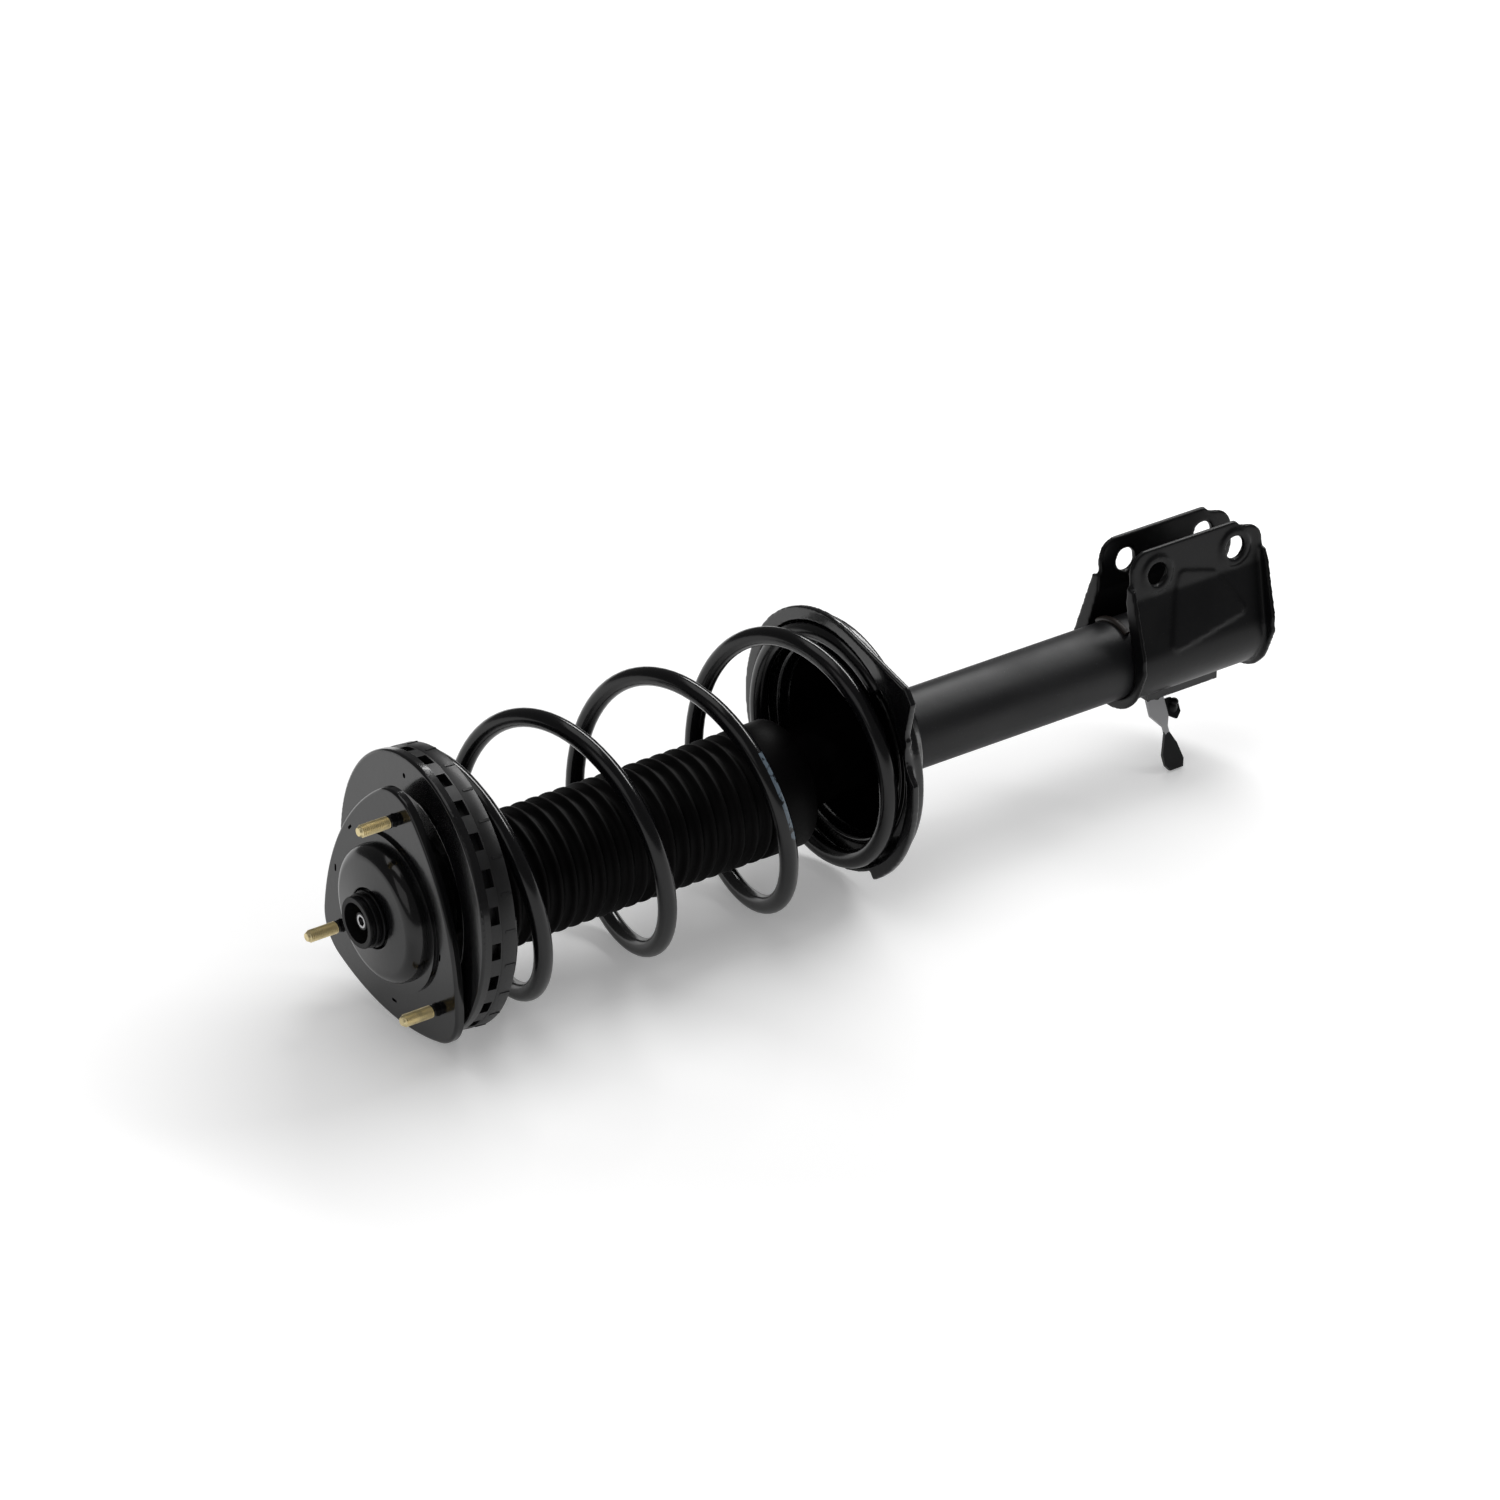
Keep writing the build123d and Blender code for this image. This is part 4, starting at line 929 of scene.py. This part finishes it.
def weld_bead(bm, x, radius, width, middle, half):
    """A rippled bead laid round the tube from one angle to another, measured from +Z."""
    closed = half == math.pi
    bmesh.ops.create_circle(bm, segments=WELD_SIDES, radius=width)
    loop = [edge for edge in bm.edges if edge.is_wire]
    verts = list({vert for edge in loop for vert in edge.verts})
    bmesh.ops.rotate(bm, verts=verts, matrix=Matrix.Rotation(math.radians(90), 3, "X"))
    bmesh.ops.translate(bm, verts=verts, vec=(x, 0, radius))
    bmesh.ops.rotate(bm, verts=verts, cent=(0, 0, 0), matrix=Matrix.Rotation(middle - half, 3, "X"))
    steps = round(2 * half * radius / WELD_STEP)
    bmesh.ops.spin(
        bm, geom=loop, cent=(0, 0, 0), axis=(1, 0, 0), angle=2 * half, steps=steps, use_merge=closed)
    if not closed:
        bmesh.ops.holes_fill(bm, edges=[edge for edge in bm.edges if edge.is_boundary])
    for vert in bm.verts:
        around = math.atan2(vert.co.y, vert.co.z) * radius
        if math.hypot(vert.co.y, vert.co.z) > radius:
            ripple = 1 + WELD_RIPPLE * math.sin(around / WELD_WAVE * math.tau)
            vert.co.y *= ripple
            vert.co.z *= ripple
    bmesh.ops.recalc_face_normals(bm, faces=bm.faces)


class STRUT_OT_lower_seat(bpy.types.Operator):
    """Dresses the lower spring seat"""

    bl_idname = "strut.lower_seat"
    bl_label = "Lower seat"

    def execute(self, context):
        seat = pressed("lower_spring_seat", "lower_spring_seat_dressed", finish("gloss_black"), 5)
        tube = radius_of("strut_tube")
        floor_x = front_of("lower_spring_seat") + DISH_DEPTH

        # Painted shade: the dish's floor and inner walls, where shade falls, are a dull black without gloss.
        def in_dish(centre, normal):
            reach = math.hypot(centre.y, centre.z - DISH_HEIGHT)
            outward = centre.y * normal.y + centre.z * normal.z
            return (centre.x > floor_x and reach < tube + DISH_WIDTH
                    and normal.x < FACES_BACK and outward < FACES_OUT)

        shade_faces(seat, "painted_shade_black", in_dish)
        bead = bmesh.new()
        weld_bead(
            bead, back_of("lower_spring_seat"), tube + SEAT_WELD_OUT, SEAT_WELD_WIDTH, 0, math.pi)
        weld = to_piece("seat_weld", bead, finish("weld_black"), "strut", [], 60)
        return {"FINISHED"}


class STRUT_OT_knuckle(bpy.types.Operator):
    """Dresses the knuckle bracket"""

    bl_idname = "strut.knuckle"
    bl_label = "Knuckle bracket"

    def execute(self, context):
        bracket = pressed("knuckle_bracket", "knuckle_bracket_dressed", finish("bracket_black"), 4)
        tube = radius_of("strut_tube")
        bead = bmesh.new()
        weld_bead(
            bead, front_of("knuckle_bracket") + BRACKET_WELD_X, tube + BRACKET_WELD_OUT,
            BRACKET_WELD_WIDTH, BRACKET_ROLL, BRACKET_WELD_HALF)
        weld = to_piece("bracket_weld", bead, finish("weld_black"), "strut", [], 60)
        return {"FINISHED"}


class STRUT_OT_hose(bpy.types.Operator):
    """Dresses the hose tab and its clip"""

    bl_idname = "strut.hose"
    bl_label = "Hose tab"

    def execute(self, context):
        dress_all(["hose_bracket"], "tab_zinc")
        dress_all(["hose_clip"], "housing_black", FINE_EDGE)
        low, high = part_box("hose_clip")
        bm = bmesh.new()
        for share, size in CLIP_PLUGS:
            middle = Vector([start + (end - start) * part for start, end, part in zip(low, high, share)])
            bmesh.ops.create_uvsphere(
                bm, u_segments=24, v_segments=12, radius=0.5,
                matrix=Matrix.Translation(middle) @ Matrix.Diagonal((*size, 1)))
        plug = to_piece("hose_clip_plug", bm, finish("housing_black"), "strut", [], 60)
        return {"FINISHED"}


# ---- stage ---------------------------------------------------------------------------------------
def soft_lamp(name, place, width, height, power):
    """A rectangular lamp that faces the strut."""
    lamp = bpy.data.lights.new(name, "AREA")
    lamp.shape = "RECTANGLE"
    lamp.size = width
    lamp.size_y = height
    lamp.energy = power
    holder = bpy.data.objects.new(name, lamp)
    bpy.context.scene.collection.objects.link(holder)
    holder.location = place
    holder.rotation_euler = (LAMP_TARGET - Vector(place)).to_track_quat("-Z", "Y").to_euler()


def floor_finish(name, plain, near_lift, far_lift, shine):
    """A pale matt floor, lifted towards white for the camera, and a little in what gloss mirrors."""
    made = Nodes(name)
    made.set(Base_Color=(*plain, 1), Roughness=0.8, IOR=1.2)
    middle = [(low + high) / 2 for low, high in zip(*CAD_BOX)]
    away = made.add("ShaderNodeVectorMath", operation="DISTANCE")
    made.link(made.place, away.inputs[0])
    away.inputs[1].default_value = (middle[0], middle[1], CAD_BOX[0][2])
    lift = made.span(away.outputs["Value"], near_lift, far_lift, *FLOOR_LIFT_REACH)
    path = made.add("ShaderNodeLightPath")
    seen = made.add("ShaderNodeMath", operation="MULTIPLY")
    made.link(lift, seen.inputs[0])
    made.link(path.outputs["Is Camera Ray"], seen.inputs[1])
    added = made.add("ShaderNodeMath", operation="ADD")
    made.link(seen.outputs[0], added.inputs[0])
    made.link(made.span(path.outputs["Is Glossy Ray"], 0, shine), added.inputs[1])
    made.link(added.outputs[0], made.shader.inputs["Emission Strength"])
    made.set(Emission_Color=(1, 1, 1, 1))
    return made.material


def set_camera(scene, stage):
    """Stands the camera at the eye and turns it to the view."""
    camera = bpy.data.objects.new("camera", bpy.data.cameras.new("camera"))
    scene.collection.objects.link(camera)
    camera.data.lens = stage.lens
    camera.data.sensor_width = 36
    camera.data.clip_end = 50
    camera.location = stage.eye
    camera.rotation_euler = (math.radians(90) - stage.elevation, 0, stage.azimuth)
    scene.camera = camera


def light_room(scene, stage):
    """A room that is white to the camera, plain for even light and dim in what gloss mirrors."""
    world = bpy.data.worlds.new("world")
    scene.world = world
    world.use_nodes = True
    tree = world.node_tree
    background = tree.nodes["Background"]
    background.inputs["Color"].default_value = (1, 1, 1, 1)
    path = tree.nodes.new("ShaderNodeLightPath")
    room = tree.nodes.new("ShaderNodeMapRange")
    room.inputs["To Min"].default_value = stage.fill
    room.inputs["To Max"].default_value = stage.sky
    tree.links.new(path.outputs["Is Glossy Ray"], room.inputs["Value"])
    level = tree.nodes.new("ShaderNodeMapRange")
    tree.links.new(path.outputs["Is Camera Ray"], level.inputs["Value"])
    tree.links.new(room.outputs["Result"], level.inputs["To Min"])
    tree.links.new(level.outputs["Result"], background.inputs["Strength"])


def lay_floor(scene, stage):
    """Lays the floor under the strut."""
    bm = bmesh.new()
    bmesh.ops.create_grid(bm, x_segments=1, y_segments=1, size=stage.floor_size)
    bmesh.ops.translate(bm, verts=bm.verts, vec=(0, 0, CAD_BOX[0][2] - FLOOR_GAP))
    mesh = bpy.data.meshes.new("floor")
    bm.to_mesh(mesh)
    bm.free()
    floor = bpy.data.objects.new("floor", mesh)
    scene.collection.objects.link(floor)
    mesh.materials.append(
        floor_finish("floor_white", stage.floor, stage.near_lift, stage.far_lift, stage.shine))


class STRUT_OT_stage(bpy.types.Operator):
    """Sets the camera, the lamps, the world and the floor"""

    bl_idname = "strut.stage"
    bl_label = "Stage"

    def execute(self, context):
        stage = context.scene.strut_stage
        context.scene.view_settings.view_transform = "Standard"
        set_camera(context.scene, stage)
        light_room(context.scene, stage)
        lay_floor(context.scene, stage)
        soft_lamp("lamp_key", (2.37, 0.63, 2.08), 3.4, 0.5, stage.key)
        soft_lamp("lamp_left", (-1.7, -0.7, 1.1), 1.6, 1.4, stage.left)
        soft_lamp("lamp_top", (0.1, 0.5, 2.4), 1.9, 1.6, stage.top)
        return {"FINISHED"}


class STRUT_PT_panel(bpy.types.Panel):
    """Lists what the strut is made of"""

    bl_idname = "STRUT_PT_panel"
    bl_label = "Suspension strut"
    bl_space_type = "VIEW_3D"
    bl_region_type = "UI"
    bl_category = "Strut"

    def draw(self, context):
        for operator in OPERATORS:
            self.layout.operator(operator.bl_idname)
        for group in SETTINGS:
            box = self.layout.box()
            values = getattr(context.scene, group)
            for name in values.__annotations__:
                box.prop(values, name)


SETTINGS = {
    "strut_finish": StrutFinish,
    "strut_spring": StrutSpring,
    "strut_boot": StrutBoot,
    "strut_cup": StrutCup,
    "strut_pad": StrutPad,
    "strut_thread": StrutThread,
    "strut_stage": StrutStage,
}
OPERATORS = (
    STRUT_OT_stage,
    STRUT_OT_spring,
    STRUT_OT_boot,
    STRUT_OT_studs,
    STRUT_OT_mount,
    STRUT_OT_bearing,
    STRUT_OT_upper_seat,
    STRUT_OT_rod,
    STRUT_OT_damper,
    STRUT_OT_lower_seat,
    STRUT_OT_knuckle,
    STRUT_OT_hose,
)


def register():
    """Makes the settings, the operators and the panel known."""
    for group in (*SETTINGS.values(), *OPERATORS, STRUT_PT_panel):
        bpy.utils.register_class(group)
    for name, group in SETTINGS.items():
        setattr(bpy.types.Scene, name, bpy.props.PointerProperty(type=group))


def unregister():
    """Takes them away again."""
    for name in SETTINGS:
        delattr(bpy.types.Scene, name)
    for group in reversed((*SETTINGS.values(), *OPERATORS, STRUT_PT_panel)):
        bpy.utils.unregister_class(group)


def main():
    """Builds the whole strut in order."""
    register()
    for operator in OPERATORS:
        group, name = operator.bl_idname.split(".")
        getattr(getattr(bpy.ops, group), name)()


if __name__ == "__main__":
    main()
